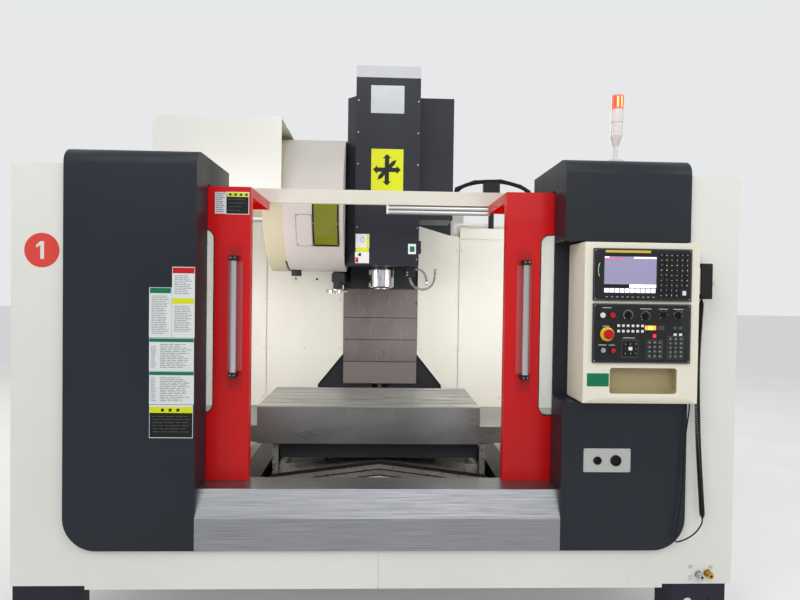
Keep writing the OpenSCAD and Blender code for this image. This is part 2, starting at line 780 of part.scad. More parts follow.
// Control box in the niche: hollow, with a pocket in the front and the pendant bracket
module control_box() color("ivory") placed() {
  pocket = [[960, 1246], [1137, 1245]];
  pocket_depth = 42;
  wall = 2;
  r = 12;
  difference() {
    union() {
      difference() {
        span(box_x, box_y, box_z);
        span([box_x[0] + skin, box_x[1] - skin], [box_y[0] + skin, box_y[1] + 1],
          [box_z[0] + skin, box_z[1] - skin]);
      }
      along_y([box_y[0], box_y[0] + pocket_depth + wall])
        round_field([pocket[0][0] - wall, pocket[0][1] + wall],
          [pocket[1][0] - wall, pocket[1][1] + wall], r + wall);
    }
    along_y([box_y[0] - 1, box_y[0] + pocket_depth]) round_field(pocket[0], pocket[1], r);
  }
  span([box_x[1], pendant_x[0]], [-50, -10], [1560, 1670]);
}

// Screen with soft keys below and a key field at its right
module display_unit() color("dimgray") placed() {
  x = [880, 1298];
  z = [1527, 1747];
  screen = [[925, 1148], [1558, 1714]];
  face = panel_face;
  difference() {
    along_y([face, box_y[0]]) round_field(x, z, 4);
    along_y([face - 1, face + 2]) round_field(screen[0], screen[1], 5);
  }
  for (i = [0:9]) key([936 + i * 22, 1544], [14, 9]);
  for (i = [0:5], j = [0:8])
    if (!(i > 3 && j < 2)) key([1166 + i * 22, 1553 + j * 21], [key_size, key_size]);
  key([1265, 1563], [36, 34]);
}

// A raised key on the front of the panels: centre and size in X and Z
module key(at, size) translate([at[0] - size[0] / 2, panel_face - 3, at[1] - size[1] / 2])
  cube([size[0], 4, size[1]]);

// Panel with keys, lamps, two fixed knobs and seats for the moving buttons
module operator_panel() color("dimgray") placed() {
  x = [881, 1298];
  z = [1267, 1516];
  lamp_r = 5;
  difference() {
    union() {
      along_y([panel_face, box_y[0]]) round_field(x, z, 4);
      bar_y([estop_at[0], panel_face - 2, estop_at[1]], 3, 29);
      for (b = [start_at, stop_at]) bar_y([b[0], panel_face - 2, b[1]], 3, button_r + 3);
    }
    for (b = [estop_at, start_at, stop_at, feed_at, spindle_knob_at])
      bar_y([b[0], panel_face - 3, b[1]], 12, stem_r + 0.3);
  }
  for (b = [[923, 1321], [965, 1319]]) bar_y([b[0], panel_face - 10, b[1]], 11, 10);
  for (b = [[1181, 1471], [1243, 1471]]) {
    bar_y([b[0], panel_face - 12, b[1]], 13, 11);
    span([b[0] - 3, b[0] + 3], [panel_face - 22, panel_face - 11], [b[1] - 12, b[1] + 12]);
  }
  for (i = [0:5], z_key = [1401, 1424]) key([989 + i * 20.3, z_key], [key_size, key_size]);
  for (i = [0:3]) bar_y([1108 + i * 24, panel_face - 2, 1417], 3, lamp_r);
  key([1142, 1382], [key_size, key_size]);
  for (i = [-1:1], j = [-1:1]) key([1041 + i * 22, 1328 + j * 20], [18, 16]);
  for (i = [0:2], j = [0:3]) key([1122 + i * 22, 1298 + j * 19], [18, key_size]);
  for (i = [0:2], j = [0:4]) key([1211 + i * 22, 1298 + j * 18], [18, key_size]);
  for (u = [1230, 1253]) key([u, 1389], [key_size, 10]);
}

// Mushroom head of the emergency stop
module estop_button() color("red") placed() {
  bar_y([estop_at[0], panel_face - 3, estop_at[1]], 6, stem_r);
  translate([estop_at[0], 0, estop_at[1]]) rotate([90, 0, 0]) rotate_extrude()
    polygon([[0, -panel_face + 8], [stem_r + 2, -panel_face + 8], [20, -panel_face + 16],
      [20, front_reach - 8], [15, front_reach], [0, front_reach]]);
  bar_y([estop_at[0], panel_face - 9, estop_at[1]], 7, stem_r);
}

module push_button(at) {
  bar_y([at[0], panel_face - 9, at[1]], 4, button_r);
  bar_y([at[0], panel_face - 6, at[1]], 9, stem_r);
}

module start_button() color("white") placed() push_button(start_at);
module stop_button() color("red") placed() push_button(stop_at);

// Rotary knob with a grip bar
module knob(at) {
  bar_y([at[0], panel_face - 12, at[1]], 12 - play, 13);
  bar_y([at[0], panel_face - 2, at[1]], 6, stem_r);
  span([at[0] - 3, at[0] + 3], [panel_face - 22, panel_face - 11], [at[1] - 12, at[1] + 12]);
}

module feed_knob() color("black") placed() knob(feed_at);
module spindle_knob() color("black") placed() knob(spindle_knob_at);

// straight round rod between two points
module rod(a, b, r) {
  d = b - a;
  length = norm(d);
  translate(a) rotate([0, acos(d[2] / length), atan2(d[1], d[0])]) cylinder(h = length, r = r);
}

// chain of rods with rounded joints
module rod_chain(points, r) {
  for (i = [0:len(points) - 2]) rod(points[i], points[i + 1], r);
  for (i = [1:len(points) - 2]) translate(points[i]) sphere(r * 1.03);
}

// Hand-wheel pendant parked beside the control box
module pendant() color("black") placed() {
  z = [1539, 1690];
  along_x(pendant_x) round_field(pendant_y, z, 8);
  bar_x([pendant_x[1], -22, 1650], 10, 8);
  bar_x([pendant_x[1], -22, 1560], 6, 10);
}

module pendant_dial() color("silver") placed() {
  difference() {
    bar_x([pendant_x[1] + play, -22, 1605], 10, 24);
    bar_x([pendant_x[1] + play + 8, -22, 1605], 3, 17);
  }
  bar_x([pendant_x[1] + play + 7, -38, 1605], 12, 4);
}

module pendant_coil() color("black") placed()
  rod_chain([[1368, -20, 1539], [1368, -20, 1515], [1356, -18, 1283], [1360, -18, 1100],
    [1366, -20, 933], [1380, -20, 750], [1393, -20, 591]], 12);

module pendant_lead() color("black") placed()
  rod_chain([[1393, -20, 590.6], [1393, -20, 575], [1366, -20, 535], [1320, -20, 500],
    [1266, -20, 484], [1285, -20, 560], [1302, -20, 700], [1307, -20, 920], [1318, -20, 1010],
    [1325, -20, 1080], [1325, -20, box_z[0]]], 3.5);

// Conduit from the column to the right, with a junction box on a post
module cable_run() color("dimgray") placed() {
  y = 1975;
  post_x = [805, 845];
  rod_chain([[520, y, 2235], [545, y, 2235], [565, y, 2335], [700, y, 2388], [901, y, 2399],
    [1050, y, 2362], [1115, y - 10, 2320], [1180, y - 20, 2180],
    [1190, enclosure_back - 1.5, 2090], [1190, enclosure_back - 1.5, enclosure_top]], 14);
  span([765, 888], [1935, 1985], [2301, 2384]);
  span(post_x, [1935, enclosure_back - skin], [1900, 2301]);
}

// Saddle: body with wings, four trucks, X rails, end brackets for the covers
module saddle() color("dimgray") placed() {
  core = 540;
  truck_half = 36;
  truck_z = [bed_top + 8, saddle_z[0]];
  rail_half = 17;
  x_rails = [820, 1140];
  nut_z = bed_top + 55;
  end_x = 1450;
  along_y(saddle_y)
    polygon([[-saddle_half, 735], [-600, 722], [-core, 722], [-core, saddle_z[0]],
      [core, saddle_z[0]], [core, 722], [600, 722], [saddle_half, 735],
      [saddle_half, saddle_z[1]], [-saddle_half, saddle_z[1]]]);
  for (y = x_rails)
    span([-saddle_half, saddle_half], [y - rail_half, y + rail_half], [saddle_z[1], x_rail_top]);
  for (x = [-y_rail_x, y_rail_x], y = [[905, 1025], [1118, 1238]]) difference() {
    span([x - truck_half, x + truck_half], y, truck_z);
    span([x - rail_half - play, x + rail_half + play], [y[0] - 1, y[1] + 1],
      [truck_z[0] - 1, y_rail_top + play]);
  }
  difference() {
    union() {
      bar_y([0, 1030, nut_z], 90, 40);
      span([-40, 40], [1030, 1120], [nut_z, saddle_z[0]]);
    }
    bar_y([0, 1029, nut_z], 92, 21);
  }
  both_sides() {
    span([saddle_half, end_x + 4], [940, 1020], [700, 733]);
    span([saddle_half - 4, saddle_half], [940, 1020], [700, 735]);
    span([end_x, end_x + 4], [x_cover_y[0] + 8, x_cover_y[1] - 8], [700, 810]);
  }
}

// Inverted channel of the table's way cover; stage 0 is the widest
module x_channel(x, stage) {
  step = stage * (skin + 0.6);
  y = [x_cover_y[0] + step, x_cover_y[1] - step];
  z = [x_cover_z[0] + step, x_cover_z[1] - step];
  difference() {
    span(x, y, z);
    span([x[0] - 1, x[1] + 1], [y[0] + skin, y[1] - skin], [z[0] - 1, z[1] - skin]);
  }
}

// Sheets on the saddle: side guards, chevron, rear cover and the outer X covers
module saddle_guard() color("gray") placed() {
  guard_x = [545, 576];
  guard_y = [690, 900];
  guard_z = [547, 720];
  rear_half = 330;
  rear_z = [556, 629];
  end_x = 1450;
  wall_half = 300;
  wall_low = chevron_peak - 1 - chevron_drop * wall_half / chevron_half;
  y_stage(0, 688);
  along_y([chevron_back - skin, chevron_back])
    polygon([[-wall_half, saddle_z[0]], [wall_half, saddle_z[0]], [wall_half, wall_low],
      [0, chevron_peak - 1], [-wall_half, wall_low]]);
  both_sides() {
    span([guard_x[1] - skin, guard_x[1]], guard_y, guard_z);
    span(guard_x, [guard_y[0], guard_y[0] + skin], guard_z);
    span([540, guard_x[1]], guard_y, [guard_z[1] - skin, guard_z[1]]);
    span([rear_half - skin, rear_half], [saddle_y[1], wall_y], rear_z);
  }
  span([-rear_half, rear_half], [saddle_y[1], wall_y], [rear_z[1] - skin, rear_z[1]]);
  span([-rear_half, rear_half], [saddle_y[1], saddle_y[1] + skin], [rear_z[1] - skin, 700]);
  x_channel([-end_x, -end_x + x_cover_length], 2);
  x_channel([end_x - x_cover_length, end_x], 2);
}

module y_cover_middle() color("gray") placed() y_stage(1, 608);
module y_cover_front() color("gray") placed() y_stage(2, 528);

module x_cover_left() color("gray") placed() {
  low = -1440 - x_travel[0] / 2;
  x_channel([low, low + x_cover_length], 1);
}

module x_cover_right() color("gray") placed() {
  high = 1440 - x_travel[1] / 2;
  x_channel([high - x_cover_length, high], 1);
}

// Work table with T-slots on four trucks
module table() color("silver") placed() {
  rail_half = 17;
  slots = [-2:2];
  foot_z = 30;
  pitch_mid = (table_y[0] + table_y[1]) / 2;
  difference() {
    span(table_x, table_y, [table_bottom, table_top]);
    for (i = slots) {
      y = pitch_mid + i * slot_pitch;
      span([table_x[0] - 1, table_x[1] + 1], [y - slot_mouth / 2, y + slot_mouth / 2],
        [table_top - 20, table_top + 1]);
      span([table_x[0] - 1, table_x[1] + 1], [y - slot_foot / 2, y + slot_foot / 2],
        [table_top - 34, table_top - 20]);
    }
  }
  span([table_mid - foot_half, table_mid + foot_half], [760, 1200], [x_rail_top + 6, table_bottom]);
  for (x = [table_mid - foot_half, table_mid + foot_half - 130], y = [820, 1140]) difference() {
    span([x, x + 130], [y - 38, y + 38], [saddle_z[1] + 5, x_rail_top + 6]);
    span([x - 1, x + 131], [y - rail_half - play, y + rail_half + play],
      [saddle_z[1] + 4, x_rail_top + play]);
  }
}

// Front apron of the table on three bolts, and the cover plates fixed to the table
module table_apron() color("silver") placed() {
  y = [671, 677];
  z = [728, 925];
  bolt_x = [-480, -200, 90];
  difference() {
    span(table_x, y, z);
    for (x = bolt_x) bar_y([x, y[0] - 1, 900], 3, 9);
  }
  for (x = bolt_x) {
    bar_y([x, y[0] - 3, 900], 6, 8);
    bar_y([x, y[1], 900], table_y[0] - y[1], 12);
  }
  x_channel([table_mid - foot_half - x_cover_length, table_mid - foot_half], 0);
  x_channel([table_mid + foot_half, table_mid + foot_half + x_cover_length], 0);
  for (side = [-1, 1]) translate([table_mid + side * (foot_half + 3), 0, 0])
    span([-skin, skin], x_cover_y, [x_cover_z[1], table_bottom]);
}

// Head: cast body with motor, four trucks on the Z rails and the ball-screw nut
module head_casting() color("darkslategray") placed() {
  half = 205;
  wall = 45;
  nose_floor = cover_bottom + cover_skin;
  step_y = head_step_y;
  top_z = 2010;
  back_y = column_y - 30;
  rail_x = 170;
  rail_half = 17;
  nut_y = column_y + 36;
  nut_r = 36;
  difference() {
    along_x([-half, half])
      polygon([[1120, nose_floor], [1120, top_z], [1520, top_z], [1640, 2300], [back_y, 2300],
        [back_y, head_bottom], [step_y, head_bottom], [step_y, nose_floor]]);
    bar_z([0, spindle_y, nose_floor - 1], cartridge_top - nose_floor + 1, shank_r);
    span([wall - half, half - wall], [step_y + 2 * wall, back_y - wall], [head_bottom + wall, 2301]);
  }
  span([-110, 110], [spindle_y - 110, spindle_y + 110], [top_z, 2420]);
  bar_z([0, spindle_y, 2420], 60, 90);
  for (x = [-rail_x, rail_x], z = [[1600, 1720], [2140, 2260]]) difference() {
    span([x - 36, x + 36], [back_y, column_y - 4], z);
    span([x - rail_half - play, x + rail_half + play], [column_y - 25 - play, column_y],
      [z[0] - 1, z[1] + 1]);
  }
  difference() {
    union() {
      bar_z([0, nut_y, 1700], 120, nut_r);
      span([-nut_r, nut_r], [back_y, nut_y], [1720, 1800]);
    }
    bar_z([0, nut_y, 1699], 122, 21);
  }
}

// Sheet cover of the head with its cap, the side box and a latch
module head_cover() color("midnightblue") placed() {
  chamfer = [51, 51];
  chamfer_top = 2715;
  back = 1560;
  upper_back = 1400;
  cap_top = 2897;
  s = cover_skin;
  side_box = [[head_x[1], 442], [1200, 1500], [2002, 2760]];
  front_left = head_x[0] + chamfer[0];
  difference() {
    union() {
      along_z([cover_bottom, chamfer_top])
        polygon([[front_left, head_front], [head_x[1], head_front], [head_x[1], back],
          [head_x[0], back], [head_x[0], head_front + chamfer[1]]]);
      along_z([chamfer_top, cap_top])
        field([front_left, head_x[1]], [head_front, upper_back]);
    }
    along_z([cover_bottom + s, chamfer_top - s])
      polygon([[front_left + 1, head_front + s], [head_x[1] - s, head_front + s],
        [head_x[1] - s, back + 1], [head_x[0] + s, back + 1],
        [head_x[0] + s, head_front + chamfer[1] + 1]]);
    along_z([chamfer_top - s - 1, cap_top - s])
      field([front_left + s, head_x[1] - s], [head_front + s, upper_back - s]);
    bar_z([0, spindle_y, cover_bottom - 1], s + 2, nose_r + 1);
    span([head_x[0] + s, head_x[1] - s], [head_step_y, back + 1],
      [cover_bottom - 1, cover_bottom + s + 1]);
  }
  difference() {
    span(side_box[0], side_box[1], side_box[2]);
    span([side_box[0][0] + s, side_box[0][1] - s], [side_box[1][0] + s, side_box[1][1] + 1],
      [side_box[2][0] + s, side_box[2][1] - s]);
  }
  span([head_x[1], head_x[1] + 14], [head_front + 10, head_front + 40], [1780, 1858]);
}

// Cartridge with the bright nose; the spindle runs inside it
module spindle_cartridge() color("silver") placed() translate([spindle_x, spindle_y, 0])
  rotate_extrude()
    polygon([[spindle_r + 0.3, nose_bottom], [nose_r - 12, nose_bottom], [nose_r, nose_bottom + 10],
      [nose_r, cover_bottom - 20], [nose_r - 6, cover_bottom + cover_skin],
      [shank_r, cover_bottom + cover_skin], [shank_r, cartridge_top], [spindle_r + 0.3, cartridge_top]]);

// Spindle with a steep taper in its nose and two drive keys
module spindle() color("silver") placed() translate([spindle_x, spindle_y, 0]) {
  face = nose_bottom - 5;
  taper_r = 22.2;
  taper_depth = 65;
  taper_end = taper_r - taper_depth * 7 / 48;
  rotate_extrude()
    polygon([[taper_r, face], [spindle_r, face], [spindle_r, cartridge_top - 5],
      [9, cartridge_top - 5], [9, face + taper_depth], [taper_end, face + taper_depth]]);
  for (side = [-1, 1]) span([side * 34 - 6, side * 34 + 6], [-8, 8], [face - 4, face]);
}

// Chain of beads that carries the coolant to the tool
module bead_hose(points, r) {
  core = r * 0.65;
  for (i = [0:len(points) - 2]) {
    a = points[i];
    d = points[i + 1] - a;
    rod(a, points[i + 1], core);
    for (t = [0.36, 0.7]) rod(a + d * t, a + d * t + d / norm(d) * r, r);
  }
  for (i = [1:len(points) - 2]) translate(points[i]) sphere(r * 0.85);
}

// Manifold under the head with two segmented coolant hoses and their tips
module coolant_nozzles() color("gray") placed() {
  y = 1250;
  bead = 9;
  span([150, 212], [y - 20, y + 70], [1640, cover_bottom]);
  bead_hose([[205, y, 1690], [243, y - 5, 1695], [278, y - 10, 1665], [288, y - 15, 1620]], bead);
  bead_hose([[176, y, 1650], [190, y - 10, 1600], [222, y - 15, 1570], [270, y - 20, 1562],
    [316, y - 25, 1582], [336, y - 30, 1625], [339, y - 30, 1672]], bead);
  rod([288, y - 15, 1620], [289, y - 17, 1594], 5);
  rod([339, y - 30, 1672], [338, y - 31, 1696], 5);
}

module z_cover_top() color("gray") placed() {
  z_stage(3, true);
}
module z_cover_upper() color("gray") placed() z_stage(2, true);
module z_cover_lower() color("gray") placed() z_stage(1, true);

// limits in X counted from an inner edge outwards; side is -1 on the left
function outwards(edge, side, a, b) = side < 0 ? [edge - b, edge - a] : [edge + a, edge + b];

// Sliding door: folded panel with window frame, canopy and handle
module door_body(edge, side, grip_x) {
  frame = 12;
  rest = door_width - stile / 3;
  handle_y = door_y - 40;
  bracket = 16;
  difference() {
    union() {
      difference() {
        span(outwards(edge, side, 0, door_width), [door_y, door_back], door_z);
        span(outwards(edge, side, skin, door_width - skin), [door_y + skin, door_back + 1],
          [door_z[0] + skin, door_z[1] - skin]);
      }
      along_y([door_y, door_back]) round_field(outwards(edge, side, stile - frame, rest + frame),
        [window_z[0] - frame, window_z[1] + frame], window_corner + frame);
    }
    along_y([door_y - 1, door_back + 1])
      round_field(outwards(edge, side, stile, rest), window_z, window_corner);
  }
  span(outwards(edge, side, 0, door_width), [door_back, canopy_back], [door_z[1] - skin, door_z[1]]);
  span(outwards(edge, side, 0, skin), [door_back, canopy_back],
    [door_z[1] - canopy_flange, door_z[1]]);
  span(outwards(edge, side, 0, door_width), [canopy_back - skin, canopy_back],
    [door_z[1] - canopy_flange, door_z[1]]);
  bar_z([grip_x, handle_y, handle_z[0]], handle_z[1] - handle_z[0], handle_r);
  for (z = [handle_z[0] - 8, handle_z[1] - 14])
    span([grip_x - bracket, grip_x + bracket], [handle_y - bracket, door_y], [z, z + 22]);
}

module door_pane(edge, side) along_y([door_y + 8, door_y + 14])
  round_field(outwards(edge, side, stile + 0.2, door_width - stile / 3 - 0.2),
    [window_z[0] + 0.2, window_z[1] - 0.2], window_corner);

module door_left() color("red") placed() door_body(left_door_edge, -1, handle_x[0]);
module door_right() color("red") placed() door_body(right_door_edge, 1, handle_x[1]);
module door_left_glass() color("lightblue") placed() door_pane(left_door_edge, -1);
module door_right_glass() color("lightblue") placed() door_pane(right_door_edge, 1);

// Tool disc with its pots
module magazine_disc() color("gray") placed() translate([0, spindle_y, drum_z]) {
  disc = [-560, -552];
  pitch_r = 290;
  pot_r = 30;
  pot_length = 118;
  difference() {
    union() {
      bar_x([disc[0], 0, 0], disc[1] - disc[0], pitch_r + pot_r - 8);
      bar_x([disc[0], 0, 0], 120, 80);
      for (i = [0:pot_count - 1]) rotate([i * 360 / pot_count, 0, 0])
        bar_x([disc[1] - 1, 0, -pitch_r], pot_length, pot_r);
    }
    bar_x([disc[0] - 1, 0, 0], 122, 30.3);
    for (i = [0:pot_count - 1]) rotate([i * 360 / pot_count, 0, 0])
      bar_x([disc[1] + pot_length - 61, 0, -pitch_r], 62, 21);
  }
}

// Change arm with two open grippers
module change_arm() color("silver") placed() translate([arm_x, spindle_y, 0]) {
  half = 26;
  reach = -arm_x;
  claw = [50, 32];
  along_z([arm_top - 22, arm_top]) difference() {
    union() {
      circle(46);
      field([-half, half], [-reach, reach]);
      for (side = [-1, 1]) translate([0, side * reach]) circle(claw[0]);
    }
    for (side = [-1, 1]) {
      translate([0, side * reach]) circle(claw[1]);
      field(side > 0 ? [-60, 0] : [0, 60], side > 0 ? [reach - 30, reach + 30]
        : [-reach - 30, -reach + 30]);
    }
  }
  bar_z([0, 0, arm_top - 30], 10, 22);
}

base_casting();
column_casting();
machine_feet();
guide_rails();
axis_motors();
enclosure_left();
enclosure_right();
front_lower_panel();
tower_left();
tower_right();
front_sill();
back_walls();
crossbar();
magazine_guard();
changer_frame();
magazine_cover();
magazine_window();
chip_pan();
electrical_cabinet();
coolant_tank();
lube_unit();
air_couplers();
work_lamp();
tower_light();
control_box();
display_unit();
operator_panel();
cable_run();
pendant();
pendant_coil();
pendant_lead();
pendant_dial();
cabinet_door();
saddle();
saddle_guard();
y_cover_front();
y_cover_middle();
table();
table_apron();
x_cover_left();
x_cover_right();
head_casting();
head_cover();
spindle_cartridge();
spindle();
coolant_nozzles();
z_cover_top();
z_cover_upper();
z_cover_lower();
door_left();
door_right();
door_left_glass();
door_right_glass();
magazine_disc();
change_arm();
estop_button();
start_button();
stop_button();
feed_knob();
spindle_knob();
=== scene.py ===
# %% [markdown]
# A vertical machining centre, finished over its CAD frame
#
# The machine is an iron bed and column in a sheet-metal house, with a table, a spindle
# head and a tool magazine inside. The CAD part gives every rigid piece its place and
# size. This script adds what the photograph shows on top of it: camera, paint, steel
# and glass, the coiled cord, plates, keys, screws, hoses and seals. All of it could be
# modelled by hand, but numbers keep each piece on its seat and can be run again after a
# change. All lengths are metres unless a comment says millimetres, and all pieces are
# built in the part's own frame, so nothing is moved afterwards.

import math

import bmesh
import bpy
import numpy as np
from mathutils import Matrix


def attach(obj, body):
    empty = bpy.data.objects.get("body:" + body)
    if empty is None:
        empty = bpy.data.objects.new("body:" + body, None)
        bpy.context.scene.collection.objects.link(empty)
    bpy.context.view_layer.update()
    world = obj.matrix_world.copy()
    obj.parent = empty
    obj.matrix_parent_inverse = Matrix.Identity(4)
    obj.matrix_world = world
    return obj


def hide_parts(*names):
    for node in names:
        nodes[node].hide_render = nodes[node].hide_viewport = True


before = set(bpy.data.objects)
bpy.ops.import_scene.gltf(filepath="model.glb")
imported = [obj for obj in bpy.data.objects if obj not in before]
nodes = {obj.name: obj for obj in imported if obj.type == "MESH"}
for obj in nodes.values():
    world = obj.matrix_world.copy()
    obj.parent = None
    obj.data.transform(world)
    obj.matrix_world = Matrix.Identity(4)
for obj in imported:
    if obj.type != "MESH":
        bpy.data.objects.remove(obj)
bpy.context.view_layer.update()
FRONT = -1.375  # the front plane of the dark towers


def at(x, depth, z):
    """Point in metres from millimetres: X, depth behind the towers' front, height."""
    return (x / 1000, depth / 1000 + FRONT, z / 1000)

# %% [markdown]
# The camera
#
# The photograph was solved for its lens and its place from the table slots and the
# edges of the enclosure: 590 pixels of focal length on an image 800 pixels wide, the
# camera 2.5 m in front of the towers at 1.56 m, turned 2.0 degrees to the right, 1.0
# degree down and rolled by 0.8 degrees. A camera that tracks a target would be quicker
# to set, but it can't hold a roll. The three turns are written as a matrix instead,
# which holds them exactly.

# %% The camera
IMAGE_WIDTH = 800  # pixels
SENSOR = 36.0  # width in millimetres


def unit(v):
    """Vector of length 1 in the same direction."""
    return v / np.linalg.norm(v)


def aim_camera(place, yaw, tilt, roll, focal_px):
    """Camera from three turns: the forward ray is (sin yaw cos tilt, cos yaw cos tilt,
    -sin tilt), and right and up are turned about it by the roll."""
    forward = np.array([math.sin(yaw) * math.cos(tilt), math.cos(yaw) * math.cos(tilt),
                        -math.sin(tilt)])
    level = unit(np.cross(forward, [0, 0, 1]))
    upright = np.cross(level, forward)
    data = bpy.data.cameras.new("camera")
    data.sensor_width = SENSOR
    data.lens = focal_px / IMAGE_WIDTH * SENSOR
    data.clip_end = 100.0
    obj = bpy.data.objects.new("camera", data)
    bpy.context.scene.collection.objects.link(obj)
    rows = np.eye(4)
    rows[:3, 0] = math.cos(roll) * level + math.sin(roll) * upright
    rows[:3, 1] = -math.sin(roll) * level + math.cos(roll) * upright
    rows[:3, 2] = -forward
    rows[:3, 3] = place
    obj.matrix_world = Matrix(rows.tolist())
    bpy.context.scene.camera = obj
    return obj


camera = aim_camera(at(-13, -2500, 1560), math.radians(2.04), math.radians(0.97),
                    math.radians(0.8), 590)
print(f"camera: lens {camera.data.lens:.2f} mm at", tuple(camera.matrix_world.translation))

# %% [markdown]
# Pieces made of points and faces
#
# Every new piece is an array of corner points and a list of faces. Blender's own
# primitives could be scaled and moved instead, but their place would sit in the object,
# and here it has to sit in the mesh, so that a pattern stays on the piece. `Piece`
# collects any number of shapes into one mesh, turns all faces outwards and rides it on
# one CAD body, so that like parts move as one object. `soften` rounds edges; a CAD mesh
# is loose triangles, so its points are welded and its flat faces joined first.

# %% Pieces made of points and faces
class Piece:
    """Points and faces that become one mesh object on one CAD body."""

    def __init__(self, name, body, material, smooth=True):
        self.name, self.body, self.material, self.smooth = name, body, material, smooth
        self.points, self.faces, self.count = [], [], 0

    def add(self, points, faces):
        """One more closed shape; its faces count on from the points held so far."""
        points = np.asarray(points, float)
        self.points.append(points)
        self.faces.extend([[i + self.count for i in face] for face in faces])
        self.count += len(points)
        return self

    def build(self, bevel=0.0):
        """Mesh with outward faces, its material, and a small bevel where one is asked."""
        mesh = bpy.data.meshes.new(self.name)
        mesh.from_pydata(np.concatenate(self.points).tolist(), [], self.faces)
        work = bmesh.new()
        work.from_mesh(mesh)
        bmesh.ops.recalc_face_normals(work, faces=work.faces)
        work.to_mesh(mesh)
        work.free()
        if self.smooth:
            mesh.shade_smooth()
            mesh.set_sharp_from_angle(angle=math.radians(35))
        obj = bpy.data.objects.new(self.name, mesh)
        bpy.context.scene.collection.objects.link(obj)
        mesh.materials.append(self.material)
        if bevel:
            soften(obj, bevel)
        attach(obj, self.body)
        print(f"{self.name}: {len(self.faces)} faces on {self.body}")
        return obj


def soften(obj, width, segments=2, angle=40, weld=False):
    """Round every edge sharper than the angle; weld joins loose triangles first."""
    if weld:
        obj.modifiers.new("weld", "WELD").merge_threshold = 0.00002
        flat = obj.modifiers.new("flat", "DECIMATE")
        flat.decimate_type = "DISSOLVE"
        flat.angle_limit = math.radians(0.5)
    edges = obj.modifiers.new("edges", "BEVEL")
    edges.width = width
    edges.segments = segments
    edges.limit_method = "ANGLE"
    edges.angle_limit = math.radians(angle)
    edges.harden_normals = False

# %% [markdown]
# Round bars along a path
#
# Cord, hoses, grips and conduit are round bars on a curve. A curve object with a round
# bevel draws such a bar too, but it has to become a mesh before it is placed, and its
# radius is awkward to change along the way. Here each ring is a circle in the plane of
# two vectors that are carried along the path without a twist, and all the rings are
# worked out at once.

# %% Round bars along a path
def ring_faces(rings, around, closed=False):
    """Quads between rings of points stored one after another: point j of ring i is joined
    to point j + 1 and to the same two points of ring i + 1. closed joins last to first."""
    i, j = np.meshgrid(np.arange(rings if closed else rings - 1), np.arange(around),
                       indexing="ij")
    after = (i + 1) % rings * around
    beside = (j + 1) % around
    corners = [i * around + j, i * around + beside, after + beside, after + j]
    return np.stack(corners, -1).reshape(-1, 4)


def frames_along(path):
    """Two unit vectors square to a path at each point, carried along without a twist:
    each is the one before less its share along the new direction."""
    tangent = np.gradient(path, axis=0)
    tangent /= np.linalg.norm(tangent, axis=1)[:, None]
    start = np.array([0.0, 0.0, 1.0]) if abs(tangent[0][2]) < 0.9 else np.array([1.0, 0, 0])
    side = unit(np.cross(tangent[0], start))
    sides = []
    for t in tangent:
        side = unit(side - t * (side @ t))
        sides.append(side)
    sides = np.array(sides)
    return sides, np.cross(tangent, sides)


def tube(path, radius, around=16):
    """Closed tube: P(i, a) = path(i) + r(i) (side(i) cos a + other(i) sin a); the ends
    are capped. radius is one number or one per path point."""
    path = np.asarray(path, float)
    radius = np.broadcast_to(np.asarray(radius, float), len(path))
    side, other = frames_along(path)
    a = np.linspace(0, 2 * math.pi, around, endpoint=False)[None, :, None]
    ring = side[:, None, :] * np.cos(a) + other[:, None, :] * np.sin(a)
    points = (path[:, None, :] + ring * radius[:, None, None]).reshape(-1, 3)
    faces = ring_faces(len(path), around)[:, ::-1].tolist()
    last = (len(path) - 1) * around
    faces.append(list(range(around)))
    faces.append([last + k for k in reversed(range(around))])
    return points, faces


def smooth_path(corners, step=0.01, rounds=3):
    """Corner points turned into an even, rounded path: each round cuts every corner at a
    quarter and three quarters of its sides, and the rest is spaced evenly by length."""
    p = np.asarray(corners, float)
    for _ in range(rounds):
        q = p[:-1] * 0.75 + p[1:] * 0.25
        r = p[:-1] * 0.25 + p[1:] * 0.75
        p = np.concatenate([p[:1], np.stack([q, r], 1).reshape(-1, 3), p[-1:]])
    length = walked(p)
    t = np.linspace(0, length[-1], max(3, int(length[-1] / step) + 1))
    return spots_on(p, length, t)


def walked(path):
    """Length walked along a path up to each of its points."""
    return np.concatenate([[0], np.cumsum(np.linalg.norm(np.diff(path, axis=0), axis=1))])


def spots_on(path, length, t):
    """Points of a path at the walked lengths t."""
    return np.stack([np.interp(t, length, path[:, k]) for k in range(3)], 1)

# %% [markdown]
# Turned parts
#
# Screws, buttons, collars and caps are turned on a lathe: a profile of radius and
# height goes round an axis. The Screw modifier does the same for one object at a time.
# The array below makes all the points of a part at once, about any axis, so that
# hundreds of screws can share one mesh.

# %% Turned parts
TURNING = {  # axis of the lathe: two vectors across it and the one along it
    "z": ((1, 0, 0), (0, 1, 0), (0, 0, 1)),
    "x": ((0, 1, 0), (0, 0, 1), (1, 0, 0)),
    "-x": ((0, 0, 1), (0, 1, 0), (-1, 0, 0)),
    "y": ((0, 0, 1), (1, 0, 0), (0, 1, 0)),
    "-y": ((1, 0, 0), (0, 0, 1), (0, -1, 0)),
}


